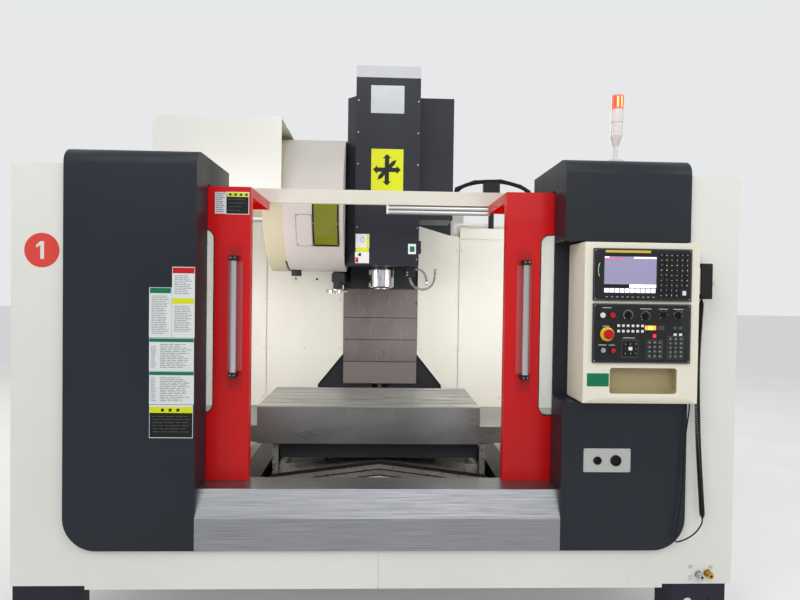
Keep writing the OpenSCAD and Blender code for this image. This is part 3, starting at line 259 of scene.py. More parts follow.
def turned(profile, centre, axis="z", around=48):
    """Profile of (radius, height) turned about an axis through centre:
    P(i, a) = centre + r(i) (u cos a + v sin a) + h(i) w, with w the axis."""
    u, v, w = np.array(TURNING[axis], float)
    profile = np.asarray(profile, float)
    a = np.linspace(0, 2 * math.pi, around, endpoint=False)[:, None]
    ring = u * np.cos(a) + v * np.sin(a)
    points = (np.asarray(centre, float) + profile[:, 0, None, None] * ring
              + profile[:, 1, None, None] * w).reshape(-1, 3)
    faces = ring_faces(len(profile), around).tolist()
    if profile[0, 0] > 1e-9:
        faces.append(list(reversed(range(around))))
    if profile[-1, 0] > 1e-9:
        faces.append([(len(profile) - 1) * around + k for k in range(around)])
    return points, faces


def round_part(name, look, profile, centre, axis="-y", around=48):
    """One turned part that is a piece by itself, on the standing machine."""
    part = Piece(name, "machine", look.mat)
    part.add(*turned(profile, centre, axis, around))
    part.build()

# %% [markdown]
# Blocks, plates and frames
#
# Labels, keys and seals are cut from flat stock. A cube scaled to size would do for the
# plain ones, but its scale would stay in the object, and the keys need round corners.
# So each is an outline in X and Z, in millimetres, with a front and a back depth.

# %% Blocks, plates and frames
def block(low, high):
    """Box between two corners."""
    (a, b, c), (d, e, f) = low, high
    points = [(a, b, c), (d, b, c), (d, e, c), (a, e, c),
              (a, b, f), (d, b, f), (d, e, f), (a, e, f)]
    faces = [(0, 3, 2, 1), (4, 5, 6, 7), (0, 1, 5, 4), (1, 2, 6, 5), (2, 3, 7, 6), (3, 0, 4, 7)]
    return points, faces


def box(x, depth, z):
    """Block from limits in X, depth and Z (millimetres)."""
    return block(at(x[0], depth[0], z[0]), at(x[1], depth[1], z[1]))


def rounded_outline(x, z, r, steps=6):
    """Rectangle with round corners, counter-clockwise in X and Z: each corner is a quarter
    circle, centre + r (cos a, sin a)."""
    turn = np.linspace(0, 90, steps + 1)
    corners = []
    for cx, cz, start in ((x[1] - r, z[0] + r, -90), (x[1] - r, z[1] - r, 0),
                          (x[0] + r, z[1] - r, 90), (x[0] + r, z[0] + r, 180)):
        a = np.radians(start + turn)
        corners.append(np.stack([cx + r * np.cos(a), cz + r * np.sin(a)], 1))
    return np.concatenate(corners)


def placed(outline, depth):
    """Outline in X and Z (millimetres) as points in metres at one depth."""
    x, z = np.asarray(outline, float).T
    return np.stack(np.broadcast_arrays(*at(x, depth, z)), 1)


def plate(outline, depth_front, depth_back):
    """Closed plate that faces the operator: the outline at two depths, and its edge."""
    n = len(outline)
    points = np.concatenate([placed(outline, depth_front), placed(outline, depth_back)])
    faces = [list(range(n)), list(reversed(range(n, 2 * n)))]
    faces += [(i, i + n, (i + 1) % n + n, (i + 1) % n) for i in range(n)]
    return points, faces


def frame_plate(outer, inner, depth_front, depth_back):
    """Closed ring between two outlines of the same number of corners."""
    rings = ((outer, depth_front), (inner, depth_front), (inner, depth_back), (outer, depth_back))
    points = np.concatenate([placed(outline, depth) for outline, depth in rings])
    return points, ring_faces(4, len(outer), closed=True).tolist()


def grown(limits, by):
    """Two limits moved apart by the same amount on both sides."""
    return (limits[0] - by, limits[1] + by)

# %% [markdown]
# One shader for every finish
#
# Paint, steel, plastic and glass differ in tone, gloss and skin, so each look is one
# Principled shader that is changed step by step. Image textures could carry the
# changes, but they need UV maps. Every pattern here reads Object coordinates, so it is
# fixed to the part without one. This first class wires the nodes that all later steps
# use: a noise, a spread of values, one coordinate and plain sums.

# %% One shader for every finish
SHEEN = 0.28  # mirror level of paint and plastic under large soft lamps


def lin(rgb):
    """Colour as seen on a screen (0 to 255) turned into linear light."""
    c = np.array(rgb, float) / 255
    return tuple(np.where(c <= 0.04045, c / 12.92, ((c + 0.055) / 1.055) ** 2.4)) + (1.0,)


class Shader:
    """Principled material of one tone, and the nodes that change it."""

    def __init__(self, name, rgb, rough=0.5, metal=0.0, coat=0.0):
        self.mat = bpy.data.materials.new(name)
        self.mat.use_nodes = True
        self.tree = self.mat.node_tree
        self.bsdf = self.tree.nodes["Principled BSDF"]
        self.coords = self.node("ShaderNodeTexCoord").outputs["Object"]
        self.rgb = lin(rgb)
        self.base = None
        self.set("Base Color", self.rgb)
        self.set("Roughness", rough)
        self.set("Metallic", metal)
        self.set("Specular IOR Level", SHEEN)
        self.set("Coat Weight", coat)

    def set(self, socket, value):
        """One value of the shader for the whole piece."""
        self.bsdf.inputs[socket].default_value = value
        return self

    def node(self, kind, **props):
        """New shader node with its properties."""
        n = self.tree.nodes.new(kind)
        for key, value in props.items():
            setattr(n, key, value)
        return n

    def link(self, a, b):
        """Wire from an output to an input."""
        self.tree.links.new(a, b)

    def noise(self, scale, detail=3.0, stretch=(1, 1, 1)):
        """Cloudy pattern of 0 to 1; a larger stretch makes it finer along that axis."""
        place = self.node("ShaderNodeMapping")
        place.inputs["Scale"].default_value = stretch
        self.link(self.coords, place.inputs["Vector"])
        n = self.node("ShaderNodeTexNoise")
        n.inputs["Scale"].default_value = scale
        n.inputs["Detail"].default_value = detail
        self.link(place.outputs["Vector"], n.inputs["Vector"])
        return n.outputs["Fac"]

    def spread(self, value, low, high, to_low=0.0, to_high=1.0):
        """Value between two limits mapped to two others, and held beyond them."""
        n = self.node("ShaderNodeMapRange")
        n.inputs["From Min"].default_value = low
        n.inputs["From Max"].default_value = high
        n.inputs["To Min"].default_value = to_low
        n.inputs["To Max"].default_value = to_high
        self.link(value, n.inputs["Value"])
        return n.outputs["Result"]

    def math(self, operation, a, b=0.0):
        """One sum on numbers or outputs of other nodes."""
        n = self.node("ShaderNodeMath", operation=operation)
        for socket, v in zip(n.inputs, (a, b)):
            if isinstance(v, (int, float)):
                socket.default_value = v
            else:
                self.link(v, socket)
        return n.outputs[0]

    def axis(self, letter):
        """One Object coordinate in metres."""
        n = self.node("ShaderNodeSeparateXYZ")
        self.link(self.coords, n.inputs[0])
        return n.outputs["XYZ".index(letter)]

# %% [markdown]
# Masks that pick a place
#
# A handle's bracket, a socket or a row of flush screws is a place on a larger piece.
# Vertex colours could mark it, but they are as coarse as the mesh. A mask is a sum on
# coordinates instead: limits along the axes make a box, the distance from a point makes
# a disc, and the distance from the nearest of many points makes a row of dots.

# %% Masks that pick a place
EDGE_BLUR = 0.0005  # soft edge of a box mask, in metres
DOT_BLUR = 0.0004  # soft edge of a disc or a dot


class Masks(Shader):
    """Shader with places to pick: a mask is 1 inside its place and 0 outside."""

    def within(self, letter, low, high, blur=EDGE_BLUR):
        """1 between two limits in metres along an axis, 0 outside."""
        a = self.axis(letter)
        up = self.spread(a, low - blur, low + blur)
        down = self.spread(a, high - blur, high + blur, 1.0, 0.0)
        return self.math("MULTIPLY", up, down)

    def region(self, **limits):
        """1 inside a box given as X=(low, high), Y=..., Z=..., 0 outside."""
        out = None
        for letter, (low, high) in limits.items():
            w = self.within(letter, low, high)
            out = w if out is None else self.math("MULTIPLY", out, w)
        return out

    def near(self, u, v, radius):
        """1 where the length of (u, v) is under the radius, 0 outside."""
        square = self.math("ADD", self.math("MULTIPLY", u, u), self.math("MULTIPLY", v, v))
        far = self.math("SQRT", square)
        return self.spread(far, radius - DOT_BLUR, radius + DOT_BLUR, 1.0, 0.0)

    def disc(self, first, second, a, b, radius):
        """1 inside a circle about (a, b) in two of the coordinates, 0 outside."""
        return self.near(self.math("SUBTRACT", self.axis(first), a),
                         self.math("SUBTRACT", self.axis(second), b), radius)

    def dots(self, along, start, pitch, span, across, middle, offset, radius):
        """1 in round dots on two lines, one on each side of a middle line: u is the way to
        the nearest dot along the line, v the way off the line."""
        u = self.math("DIVIDE", self.math("SUBTRACT", self.axis(along), start), pitch)
        u = self.math("SUBTRACT", self.math("FRACT", self.math("ADD", u, 0.5)), 0.5)
        u = self.math("MULTIPLY", u, pitch)
        v = self.math("ABSOLUTE", self.math("SUBTRACT", self.axis(across), middle))
        v = self.math("SUBTRACT", v, offset)
        return self.math("MULTIPLY", self.near(u, v, radius), self.within(along, *span))

# %% [markdown]
# Tone, gloss and skin
#
# On a real surface a second tone drifts slowly over the first, the gloss is broken up
# more finely, and powder paint, grinding or casting leaves a skin. Painting these by
# hand would suit one piece only. Each is a noise of its own size here: a large one
# mixes two colours, a finer one moves the roughness, and a very fine one feeds a bump.

# %% Tone, gloss and skin
class Look(Masks):
    """Finish made step by step: base colour, drift, gloss and bump."""

    def paint_over(self, mask, rgb):
        """Another colour where the mask is 1."""
        n = self.node("ShaderNodeMix", data_type="RGBA")
        self.link(mask, n.inputs["Factor"])
        if self.base is None:
            n.inputs[6].default_value = self.rgb
        else:
            self.link(self.base, n.inputs[6])
        n.inputs[7].default_value = lin(rgb)
        self.base = n.outputs[2]
        self.link(self.base, self.bsdf.inputs["Base Color"])
        return self

    def drift(self, rgb, scale=1.5, low=0.35, high=0.75, stretch=(1, 1, 1), detail=4.0):
        """A second tone that comes and goes slowly."""
        return self.paint_over(self.spread(self.noise(scale, detail, stretch), low, high), rgb)

    def gloss(self, low, high, scale=6.0, stretch=(1, 1, 1), detail=5.0):
        """Roughness that wanders between two values."""
        value = self.spread(self.noise(scale, detail, stretch), 0.3, 0.7, low, high)
        self.link(value, self.bsdf.inputs["Roughness"])
        return self

    def set_where(self, socket, mask, outside, inside):
        """One value of the shader inside a mask and another outside."""
        self.link(self.spread(mask, 0, 1, outside, inside), self.bsdf.inputs[socket])
        return self

    def bump(self, scale, strength=0.1, distance=0.0005, stretch=(1, 1, 1), detail=4.0):
        """Small heights from a fine pattern."""
        n = self.node("ShaderNodeBump")
        n.inputs["Strength"].default_value = strength
        n.inputs["Distance"].default_value = distance
        self.link(self.noise(scale, detail, stretch), n.inputs["Height"])
        self.link(n.outputs["Normal"], self.bsdf.inputs["Normal"])
        return self

# %% [markdown]
# Recipes for paint, steel and glass
#
# Most pieces share a few finishes: powder paint, ground steel, moulded plastic, lit
# lamps and clear panes. Each could be wired anew in the shader editor. One function for
# each keeps the family alike, and a piece then names only its colours and its
# roughness.

# %% Recipes for paint, steel and glass
def powder(name, rgb, shade, rough=0.42, coat=0.0):
    """Powder paint: two near tones, fine orange peel, faint wipe marks."""
    look = Look(name, rgb, rough, coat=coat)
    look.drift(shade, scale=1.1, low=0.42, high=0.85)
    look.gloss(rough - 0.06, rough + 0.10, scale=3.0, stretch=(1, 1, 0.3))
    return look.bump(260, strength=0.06, distance=0.0004, detail=2.0)


def brushed(name, rgb, shade, rough, grain=(1, 60, 60), scale=4.0):
    """Ground or brushed steel: fine lines along one axis in tone, gloss and height."""
    look = Look(name, rgb, rough, metal=1.0)
    look.drift(shade, scale=scale, low=0.3, high=0.75, stretch=grain, detail=6.0)
    look.gloss(rough - 0.08, rough + 0.12, scale=scale * 2, stretch=grain)
    return look.bump(scale * 3, strength=0.08, distance=0.0003, stretch=grain, detail=6.0)


def plain(name, rgb, rough=0.4, metal=0.0):
    """Moulded plastic or print: one tone, with a gloss that wanders a little."""
    return Look(name, rgb, rough, metal).gloss(rough - 0.05, rough + 0.08, scale=30)


def glow(name, rgb, strength):
    """Lit lamp or screen: a smooth face with its own light."""
    look = Look(name, rgb, 0.3)
    return look.set("Emission Color", lin(rgb)).set("Emission Strength", strength)


def clear(name, rgb, alpha, rough=0.05):
    """Clear sheet: mostly see-through, with the mirror level of glass."""
    look = Look(name, rgb, rough).set("Alpha", alpha)
    return look.set("IOR", 1.5).set("Specular IOR Level", 0.5)


def tell(*finished):
    """Print each finish with the number of its shader nodes."""
    for look in finished:
        print(f"{look.mat.name}: {len(look.mat.node_tree.nodes)} shader nodes")

# %% [markdown]
# Paint and plain finishes
#
# The towers are dark blue, the doors red, the shells white and the drum a warm grey;
# the castings inside are dark primer. A colour picked from the photograph already holds
# its light, so it would be lit twice. These tones were set and compared with the
# photograph after each render until the same place gave the same colour.

# %% Paint and plain finishes
navy = powder("tower_navy", (26, 31, 39), (34, 39, 48), rough=0.40)
red = powder("door_red", (214, 8, 14), (186, 5, 10), rough=0.34, coat=0.1)
white = powder("shell_white", (236, 235, 228), (224, 224, 218), rough=0.38)
room_white = powder("room_white", (238, 236, 226), (222, 219, 206), rough=0.36)
cream = powder("cream", (222, 219, 206), (210, 206, 190), rough=0.40)
drum_grey = powder("drum_grey", (200, 194, 188), (186, 178, 174), rough=0.40)
legs = powder("legs_navy", (28, 28, 46), (36, 37, 56), rough=0.38)
cast = Look("cast_dark", (44, 47, 52), 0.55).drift((32, 34, 39), 2.0).bump(60, 0.35, 0.001)
motor = Look("motor_black", (26, 27, 29), 0.45).drift((38, 39, 42), 3.0).bump(120, 0.15, 0.0004)
sill_steel = brushed("sill_steel", (160, 161, 164), (128, 130, 134), 0.38)
rail_steel = brushed("rail_steel", (190, 190, 190), (160, 160, 160), 0.22, grain=(60, 1, 60))
bright = brushed("bright_steel", (214, 214, 216), (170, 170, 174), 0.16, grain=(6, 6, 1), scale=20)
tank_grey = powder("tank_grey", (186, 188, 186), (170, 172, 170), rough=0.45)
black = plain("black_plastic", (18, 18, 20), 0.45)
rubber = Look("rubber_black", (16, 16, 17), 0.62).bump(200, 0.2, 0.0003)
panel = plain("panel_grey", (25, 27, 28), 0.42)
pot_grey = Look("pot_grey", (70, 72, 76), 0.4, metal=0.6).drift((50, 52, 56), 4.0)
glass = clear("door_glass", (196, 210, 214), 0.28)
olive = clear("window_olive", (118, 120, 22), 0.86, rough=0.12)
olive.drift((150, 148, 30), 3.0, 0.45, 0.8)
lamp_white = Look("lamp_white", (225, 226, 224), 0.35).drift((200, 201, 200), 8.0)
stop_red = plain("estop_red", (196, 14, 16), 0.3)
button_white = plain("button_white", (228, 228, 222), 0.3)
print(len(bpy.data.materials), "finishes so far")

# %% [markdown]
# The ground table and its apron
#
# The table is ground iron with wipe marks and a film of coolant, and its sides are
# darker than its top. A photographed scratch pattern would show its repeat over 1.2 m
# of table. A noise that is stretched along X gives marks that run with the grinding and
# never repeat.

# %% The ground table and its apron
table_steel = Look("table_steel", (182, 182, 178), 0.36, metal=0.55)
table_steel.drift((146, 146, 142), 3.0, 0.35, 0.7, stretch=(1, 14, 14), detail=8.0)
table_steel.paint_over(table_steel.region(Z=(0.80, 0.909)), (86, 84, 80))
table_steel.gloss(0.26, 0.5, scale=2.0, stretch=(1, 5, 5)).bump(14, 0.1, 0.0004, (1, 30, 30))
apron_steel = Look("apron_steel", (138, 140, 138), 0.3, metal=0.7)
apron_steel.drift((104, 104, 102), 2.0, 0.35, 0.75, detail=7.0)
apron_steel.gloss(0.22, 0.42, scale=3.0, stretch=(1, 1, 4)).bump(30, 0.08, 0.0003, (1, 6, 6))
tell(table_steel, apron_steel)

# %% [markdown]
# The telescopic way covers
#
# The covers over the guideways are stainless sheet gone grey-brown, with dried drops
# running down. Their screws are countersunk, because each sheet passes under the next
# one. As small meshes they would strike the next cover when the head is low, so they
# are painted dots, which are flush by themselves.

# %% The telescopic way covers
cover_steel = Look("cover_steel", (134, 126, 124), 0.36, metal=0.6)
cover_steel.drift((106, 97, 95), 2.2, 0.35, 0.75, detail=7.0)
cover_steel.drift((146, 138, 136), 16.0, 0.6, 0.75, stretch=(3, 3, 0.5))
for offset in (0.15, 0.25):
    flush = cover_steel.dots("Z", 0.873, 0.164, (0.86, 1.30), "X", 0.0, offset, 0.0036)
    cover_steel.paint_over(flush, (58, 54, 52))
cover_steel.gloss(0.26, 0.48, scale=9.0).bump(180, 0.08, 0.0003)
tell(cover_steel)

# %% [markdown]
# Trays and chevron covers
#
# The tray and the roof-shaped covers in front of the table catch chips and coolant.
# Thousands of chips as meshes would be slow, and they would have to ride on several
# bodies. Two fine noises, cut off high, leave small separate spots instead, some dark
# and some pale.

# %% Trays and chevron covers
tray = Look("chip_pan", (214, 208, 190), 0.42)
tray.drift((176, 164, 138), 2.5, 0.4, 0.8)
tray.drift((92, 84, 70), 55.0, 0.63, 0.70, detail=6.0)
tray.drift((234, 230, 214), 90.0, 0.66, 0.72, detail=6.0)
tray.paint_over(tray.region(Z=(0.70, 1.20)), (128, 120, 118))
tray.paint_over(tray.region(X=(-0.575, 0.575), Z=(0.523, 0.6035)), (156, 154, 148))
# painted shade: two dark bands on the tray beside the table, where it lies in shadow under the
# covers
for shade_band in ((-0.76, -0.585), (0.585, 0.76)):
    tray.paint_over(tray.region(X=shade_band, Z=(0.40, 0.70)), (36, 32, 28))
tray.bump(75, 0.45, 0.002, detail=6.0)

# the chevron covers: paler sheet, drops and fine chips lying on the upper one
roof_steel = Look("roof_steel", (160, 158, 152), 0.38, metal=0.5)
roof_steel.drift((128, 124, 118), 4.0, 0.35, 0.75, detail=7.0)
roof_steel.drift((92, 88, 82), 60.0, 0.56, 0.66, stretch=(1, 0.6, 1), detail=5.0)
roof_steel.drift((52, 49, 46), 150.0, 0.58, 0.66, detail=4.0)
roof_steel.bump(90, 0.4, 0.0015, detail=6.0)
tell(tray, roof_steel)

# %% [markdown]
# Finishes that change within one piece
#
# Some CAD nodes carry two or three finishes: the doors have steel handles on black
# brackets, the head cover a bright cap, the control box a tan pocket, and one air
# coupler is brass. Material slots for single faces would do this too, but the CAD mesh
# is loose triangles without named faces. A box in Object coordinates picks the zone.

# %% Finishes that change within one piece
handle_depth = (FRONT + 0.100, FRONT + 0.1697)
for edge in ((-0.690, -0.625), (0.615, 0.681)):
    for height, tone in (((1.10, 1.75), (24, 24, 26)), ((1.186, 1.679), (176, 177, 180))):
        red.paint_over(red.region(X=edge, Y=handle_depth, Z=height), tone)

head_look = powder("head_navy", (28, 31, 39), (36, 40, 48), rough=0.42)
head_look.paint_over(head_look.region(Z=(2.8285, 2.95)), (196, 198, 202))

box_cream = powder("box_cream", (238, 234, 216), (226, 221, 200), rough=0.36)
pocket = box_cream.region(X=(0.959, 1.247), Y=(FRONT - 0.0592, FRONT - 0.0165), Z=(1.136, 1.246))
box_cream.paint_over(pocket, (172, 158, 120))
coupler = brushed("coupler_steel", (206, 206, 208), (170, 170, 174), 0.2, (6, 6, 1), 20)
coupler.paint_over(coupler.region(X=(1.420, 1.465), Z=(0.300, 0.356)), (198, 160, 84))
tell(head_look, box_cream, coupler)

# %% [markdown]
# Signal light, work lamp and magazine carrier
#
# The signal light has a greenish foot and clear tiers with a pink cast, and its top
# tier is lit red with two yellow filaments. A real one scatters a lamp's light through
# its lens, and so could this one, but seen from some metres it is a pale body with a
# lit band. So one mask drives both the colour and the glow. The work lamp's lens and
# the dark drive parts of the carrier are zones of the same kind.

# %% Signal light, work lamp and magazine carrier
signal = Look("signal_light", (222, 212, 210), 0.25, coat=0.4)
signal.drift((236, 228, 224), 40.0)
signal.paint_over(signal.region(Z=(2.137, 2.158)), (200, 212, 202))
lit = signal.region(Z=(2.383, 2.440))
signal.paint_over(lit, (236, 70, 48))
warm = signal.math("MAXIMUM", signal.region(X=(1.0335, 1.0405), Z=(2.388, 2.436)),
                   signal.region(X=(1.0500, 1.0570), Z=(2.388, 2.436)))
signal.paint_over(warm, (255, 214, 120))
signal.link(signal.base, signal.bsdf.inputs["Emission Color"])
signal.set_where("Emission Strength", lit, 0.0, 0.9)

lamp = Look("lamp_metal", (150, 151, 152), 0.3, metal=0.7).drift((120, 121, 122), 6.0)
lamp.paint_over(lamp.region(Y=(FRONT + 0.620, FRONT + 0.634)), (206, 206, 204))

# painted shade: the carrier's cream paint is laid on as a darker tan, the tone of the cream in
# shade; the dark zones below are its drive parts
carrier = powder("carrier_cream_shaded", (196, 188, 162), (180, 170, 142), rough=0.42)
for zone in (carrier.region(X=(-0.36, -0.20), Z=(1.50, 1.90)),
             carrier.region(X=(-0.58, -0.50), Z=(1.60, 1.725))):
    carrier.paint_over(zone, (40, 42, 46))
tell(signal, lamp, carrier)

# %% [markdown]
# Silver plate and flush screws
#
# The right tower carries a silver plate with two dark sockets, and each white side
# sheet has two service covers with countersunk screws. Both are flush with the sheet,
# so a cut in the mesh would show nothing that a painted disc doesn't. The screws stand
# on the four sides of a rectangle: two rows along Y and two columns along Z.

# %% Silver plate and flush screws
navy_right = powder("tower_navy_right", (26, 31, 39), (34, 39, 48), rough=0.40)
silver = navy_right.region(X=(0.8755, 1.0815), Y=(FRONT - 0.009, FRONT - 0.0005),
                           Z=(0.7865, 0.8895))
navy_right.paint_over(silver, (186, 188, 184))
navy_right.set_where("Metallic", silver, 0.0, 0.5)
for x, r in ((0.936, 0.0182), (1.016, 0.0242)):
    navy_right.paint_over(navy_right.disc("X", "Z", x, 0.838, r), (20, 21, 23))

outer_face = white.math("GREATER_THAN", white.math("ABSOLUTE", white.axis("X")), 1.5495)
for ends, pitch in (((0.475, 1.075), 0.2), ((1.175, 1.825), 0.65 / 3)):
    low, high = ends[0] + FRONT, ends[1] + FRONT
    rows = white.dots("Y", low, pitch, (low - 0.01, high + 0.01), "Z", 1.15, 0.675, 0.005)
    columns = white.dots("Z", 0.475, 0.3375, (0.465, 1.835), "Y", (low + high) / 2,
                         (high - low) / 2, 0.005)
    both = white.math("MULTIPLY", outer_face, white.math("MAXIMUM", rows, columns))
    white.paint_over(both, (120, 121, 120))
tell(navy_right)

# %% [markdown]
# Cabinet, its door and the lubrication unit
#
# The electrical cabinet at the rear is a white box with a mounting plate, drives,
# contactors and breakers inside, all one CAD node, and its door has two locks and a
# bare plate. The lubrication unit is a clear tank, a little over half full of oil.
# Layers of depth tell these pieces apart, so four boxes of limits give each row its own
# tone.

# %% Cabinet, its door and the lubrication unit
rear_door = powder("rear_door_white", (232, 232, 226), (220, 220, 214), rough=0.38)
bare_plate = rear_door.region(X=(-0.22, 0.02), Y=(1.474, 1.476), Z=(1.74, 1.84))
rear_door.paint_over(bare_plate, (176, 178, 178))
for z in (1.18, 1.52):
    for radius, tone in ((0.016, (168, 169, 170)), (0.006, (30, 30, 32))):
        rear_door.paint_over(rear_door.disc("X", "Z", 0.58, z, radius), tone)

cabinet = powder("cabinet_white", (232, 232, 226), (220, 220, 214), rough=0.38)
for half, depth, height, tone in (
        (0.645, (2.542, 2.5475), (0.525, 2.175), (184, 188, 190)),
        (0.60, (2.5475, 2.72), (1.49, 2.01), (58, 61, 66)),
        (0.60, (2.5475, 2.62), (1.29, 1.39), (132, 136, 140)),
        (0.60, (2.5475, 2.66), (1.04, 1.21), (224, 224, 218))):
    layer = (depth[0] + FRONT, depth[1] + FRONT)
    cabinet.paint_over(cabinet.region(X=(-half, half), Y=layer, Z=height), tone)
oiler = Look("oiler", (206, 208, 206), 0.36).drift((190, 192, 190), 6.0)
for top, tone in ((1.0995, (224, 218, 196)), (1.032, (186, 142, 62))):
    oiler.paint_over(oiler.region(Z=(0.935, top)), tone)
tell(rear_door, cabinet, oiler)

# %% [markdown]
# Every CAD node gets its finish
#
# The CAD nodes arrive with one plain colour each. They could be dressed one by one in
# the editor, but a table of names is easier to read and to check against the part, and
# a name that is wrong stops the script at once.

# %% Every CAD node gets its finish
looks = {
    "base_casting": cast, "column_casting": cast, "saddle": cast, "head_casting": cast,
    "machine_feet": legs, "guide_rails": rail_steel, "axis_motors": motor,
    "enclosure_left": white, "enclosure_right": white, "front_lower_panel": white,
    "tower_left": navy, "tower_right": navy_right, "front_sill": sill_steel,
    "back_walls": room_white, "crossbar": cream, "magazine_guard": white,
    "changer_frame": carrier, "magazine_cover": drum_grey, "magazine_window": olive,
    "chip_pan": tray, "electrical_cabinet": cabinet, "coolant_tank": tank_grey,
    "lube_unit": oiler, "air_couplers": coupler, "work_lamp": lamp,
    "tower_light": signal, "control_box": box_cream, "display_unit": panel,
    "operator_panel": panel, "cable_run": black, "pendant": black,
    "pendant_dial": bright, "cabinet_door": rear_door, "saddle_guard": roof_steel,
    "y_cover_front": roof_steel, "y_cover_middle": roof_steel, "table": table_steel,
    "table_apron": apron_steel, "x_cover_left": cover_steel, "x_cover_right": cover_steel,
    "head_cover": head_look, "spindle_cartridge": bright, "spindle": rail_steel,
    "coolant_nozzles": lamp_white, "z_cover_top": cover_steel,
    "z_cover_upper": cover_steel, "z_cover_lower": cover_steel, "door_left": red,
    "door_right": red, "door_left_glass": glass, "door_right_glass": glass,
    "magazine_disc": pot_grey, "change_arm": bright, "estop_button": stop_red,
    "start_button": button_white, "stop_button": stop_red, "feed_knob": black,
    "spindle_knob": black,
}
for name, look in looks.items():
    nodes[name].data.materials.clear()
    nodes[name].data.materials.append(look.mat)
print(len(looks), "of", len(nodes), "nodes dressed; left for new pieces:",
      sorted(set(nodes) - set(looks)))

# %% [markdown]
# Round edges on the CAD nodes
#
# Folded sheet and milled blocks have small round edges that catch the light. Rounding
# each in the mesh would be long work and would be lost at the next change of the part.
# A weld, a flat Decimate and a Bevel do it on the fly. The widths are those of the real
# edges, from 0.6 mm on moulded plates to 6 mm on castings.

# %% Round edges on the CAD nodes
for name, width in (("control_box", 0.0030), ("crossbar", 0.0020), ("table_apron", 0.0008),
                    ("tower_left", 0.0012), ("tower_right", 0.0012), ("door_left", 0.0012),
                    ("door_right", 0.0012), ("head_cover", 0.0010), ("display_unit", 0.0006),
                    ("operator_panel", 0.0006), ("pendant", 0.0030), ("change_arm", 0.0015),
                    ("magazine_guard", 0.0010), ("cabinet_door", 0.0012), ("work_lamp", 0.0012),
                    ("base_casting", 0.0060), ("column_casting", 0.0060), ("lube_unit", 0.0040),
                    ("axis_motors", 0.0030), ("head_casting", 0.0030), ("saddle", 0.0030)):
    soften(nodes[name], width, segments=2, weld=True)
    print(f"{name}: edges rounded by {1000 * width:.1f} mm")

# %% [markdown]
# The pendant's coiled cord
#
# The cord leaves the bottom of the pendant, runs down as a close helix and comes back
# as a plain lead behind it to the control box. A curve with a Screw modifier could wind
# the coil, but it would stop dead at both ends. Here one path is the centreline of coil
# and lead: along the coil it circles the hanging line, P(t) = line(t) + R (a(t) cos wt
# + b(t) sin wt), and at each end R shrinks to nothing, so that the wire runs out of the
# coil smoothly. The mesh is one tube of 6 mm wire.

# %% The pendant's coiled cord
WIRE = 0.0060
COIL_R = 0.0085
TURN = 0.0072  # rise of one turn
PER_TURN = 14  # points in one turn


def coil_path(line, radius, rise, run_out=0.02):
    """Helix about a line of points, in metres, evenly wound along the line's length."""
    length = walked(line)
    t = np.linspace(0, length[-1], int(length[-1] / rise * PER_TURN))
    centre = spots_on(line, length, t)
    a, b = frames_along(centre)
    phase = 2 * math.pi * t / rise
    r = radius * np.clip(np.minimum(t, length[-1] - t) / run_out, 0, 1)
    return centre + r[:, None] * (a * np.cos(phase)[:, None] + b * np.sin(phase)[:, None])


hang = smooth_path([at(1368, -20, 1539), at(1366, -20, 1500), at(1356, -18, 1283),
                    at(1360, -18, 1100), at(1366, -20, 933), at(1380, -20, 750),
                    at(1393, -20, 591)], step=0.004)
coil = coil_path(hang, COIL_R, TURN)
lead = smooth_path([at(1393, -20, 591), at(1392, -20, 570), at(1366, -20, 530),
                    at(1320, -20, 500), at(1266, -20, 486), at(1283, -20, 560),
                    at(1302, -20, 700), at(1307, -20, 920), at(1318, -20, 1010),
                    at(1325, -20, 1060), at(1325, -20, 1096)], step=0.006)
cord_path = np.concatenate([coil, lead[1:]])
cord_piece = Piece("pendant_cord", "machine", rubber.mat)
cord_piece.add(*tube(cord_path, WIRE / 2, around=8))
cord_obj = cord_piece.build()
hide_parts("pendant_coil", "pendant_lead")

# %% [markdown]
# Sheets of colour
#
# Labels are thin plates with bands of colour and rows of fine marks. An image on a
# plane could carry both, but it needs a UV map and blurs close up. Here a band is a
# thin block and each row is a line of plain grey strokes. All rectangles of one colour
# on one body are collected in one mesh, so that a few objects hold hundreds of marks.

# %% Sheets of colour
sheet_looks = {
    "paper": plain("sheet_paper", (222, 226, 226), 0.45),
    "green": plain("sheet_green", (0, 116, 78), 0.4),
    "red": plain("sheet_red", (198, 18, 26), 0.4),
    "yellow": plain("sheet_yellow", (216, 222, 22), 0.4),
    "ink": plain("sheet_ink", (122, 126, 128), 0.5),
    "black": plain("sheet_black", (14, 14, 15), 0.4),
    "silver": plain("sheet_silver", (158, 160, 164), 0.34, 0.6),
    "white": button_white,
    "grey": plain("key_grey", (74, 78, 80), 0.4),
    "gold": plain("strip_gold", (214, 186, 70), 0.4),
    "amber": glow("lamp_amber", (255, 170, 90), 0.9),
    "lemon": glow("lamp_lemon", (250, 222, 90), 0.9),
    "lit_red": glow("lamp_red", (255, 40, 60), 1.2),
    "screen": glow("screen_blue", (132, 128, 158), 0.6),
    "screen_white": glow("screen_white", (235, 236, 245), 0.8),
    "dim_red": plain("lamp_dim", (120, 34, 38), 0.3),
}
sheets = {}


def sheet(colour, body="machine"):
    """The mesh that collects this colour on this body."""
    key = (colour, body)
    if key not in sheets:
        sheets[key] = Piece(f"marks_{colour}_{body}", body, sheet_looks[colour].mat, smooth=False)
    return sheets[key]


def rect(colour, x, z, depth, thick=0.5, body="machine"):
    """Rectangle facing the operator: limits in X and Z, depth of its front face."""
    sheet(colour, body).add(*box(x, (depth, depth + thick), z))


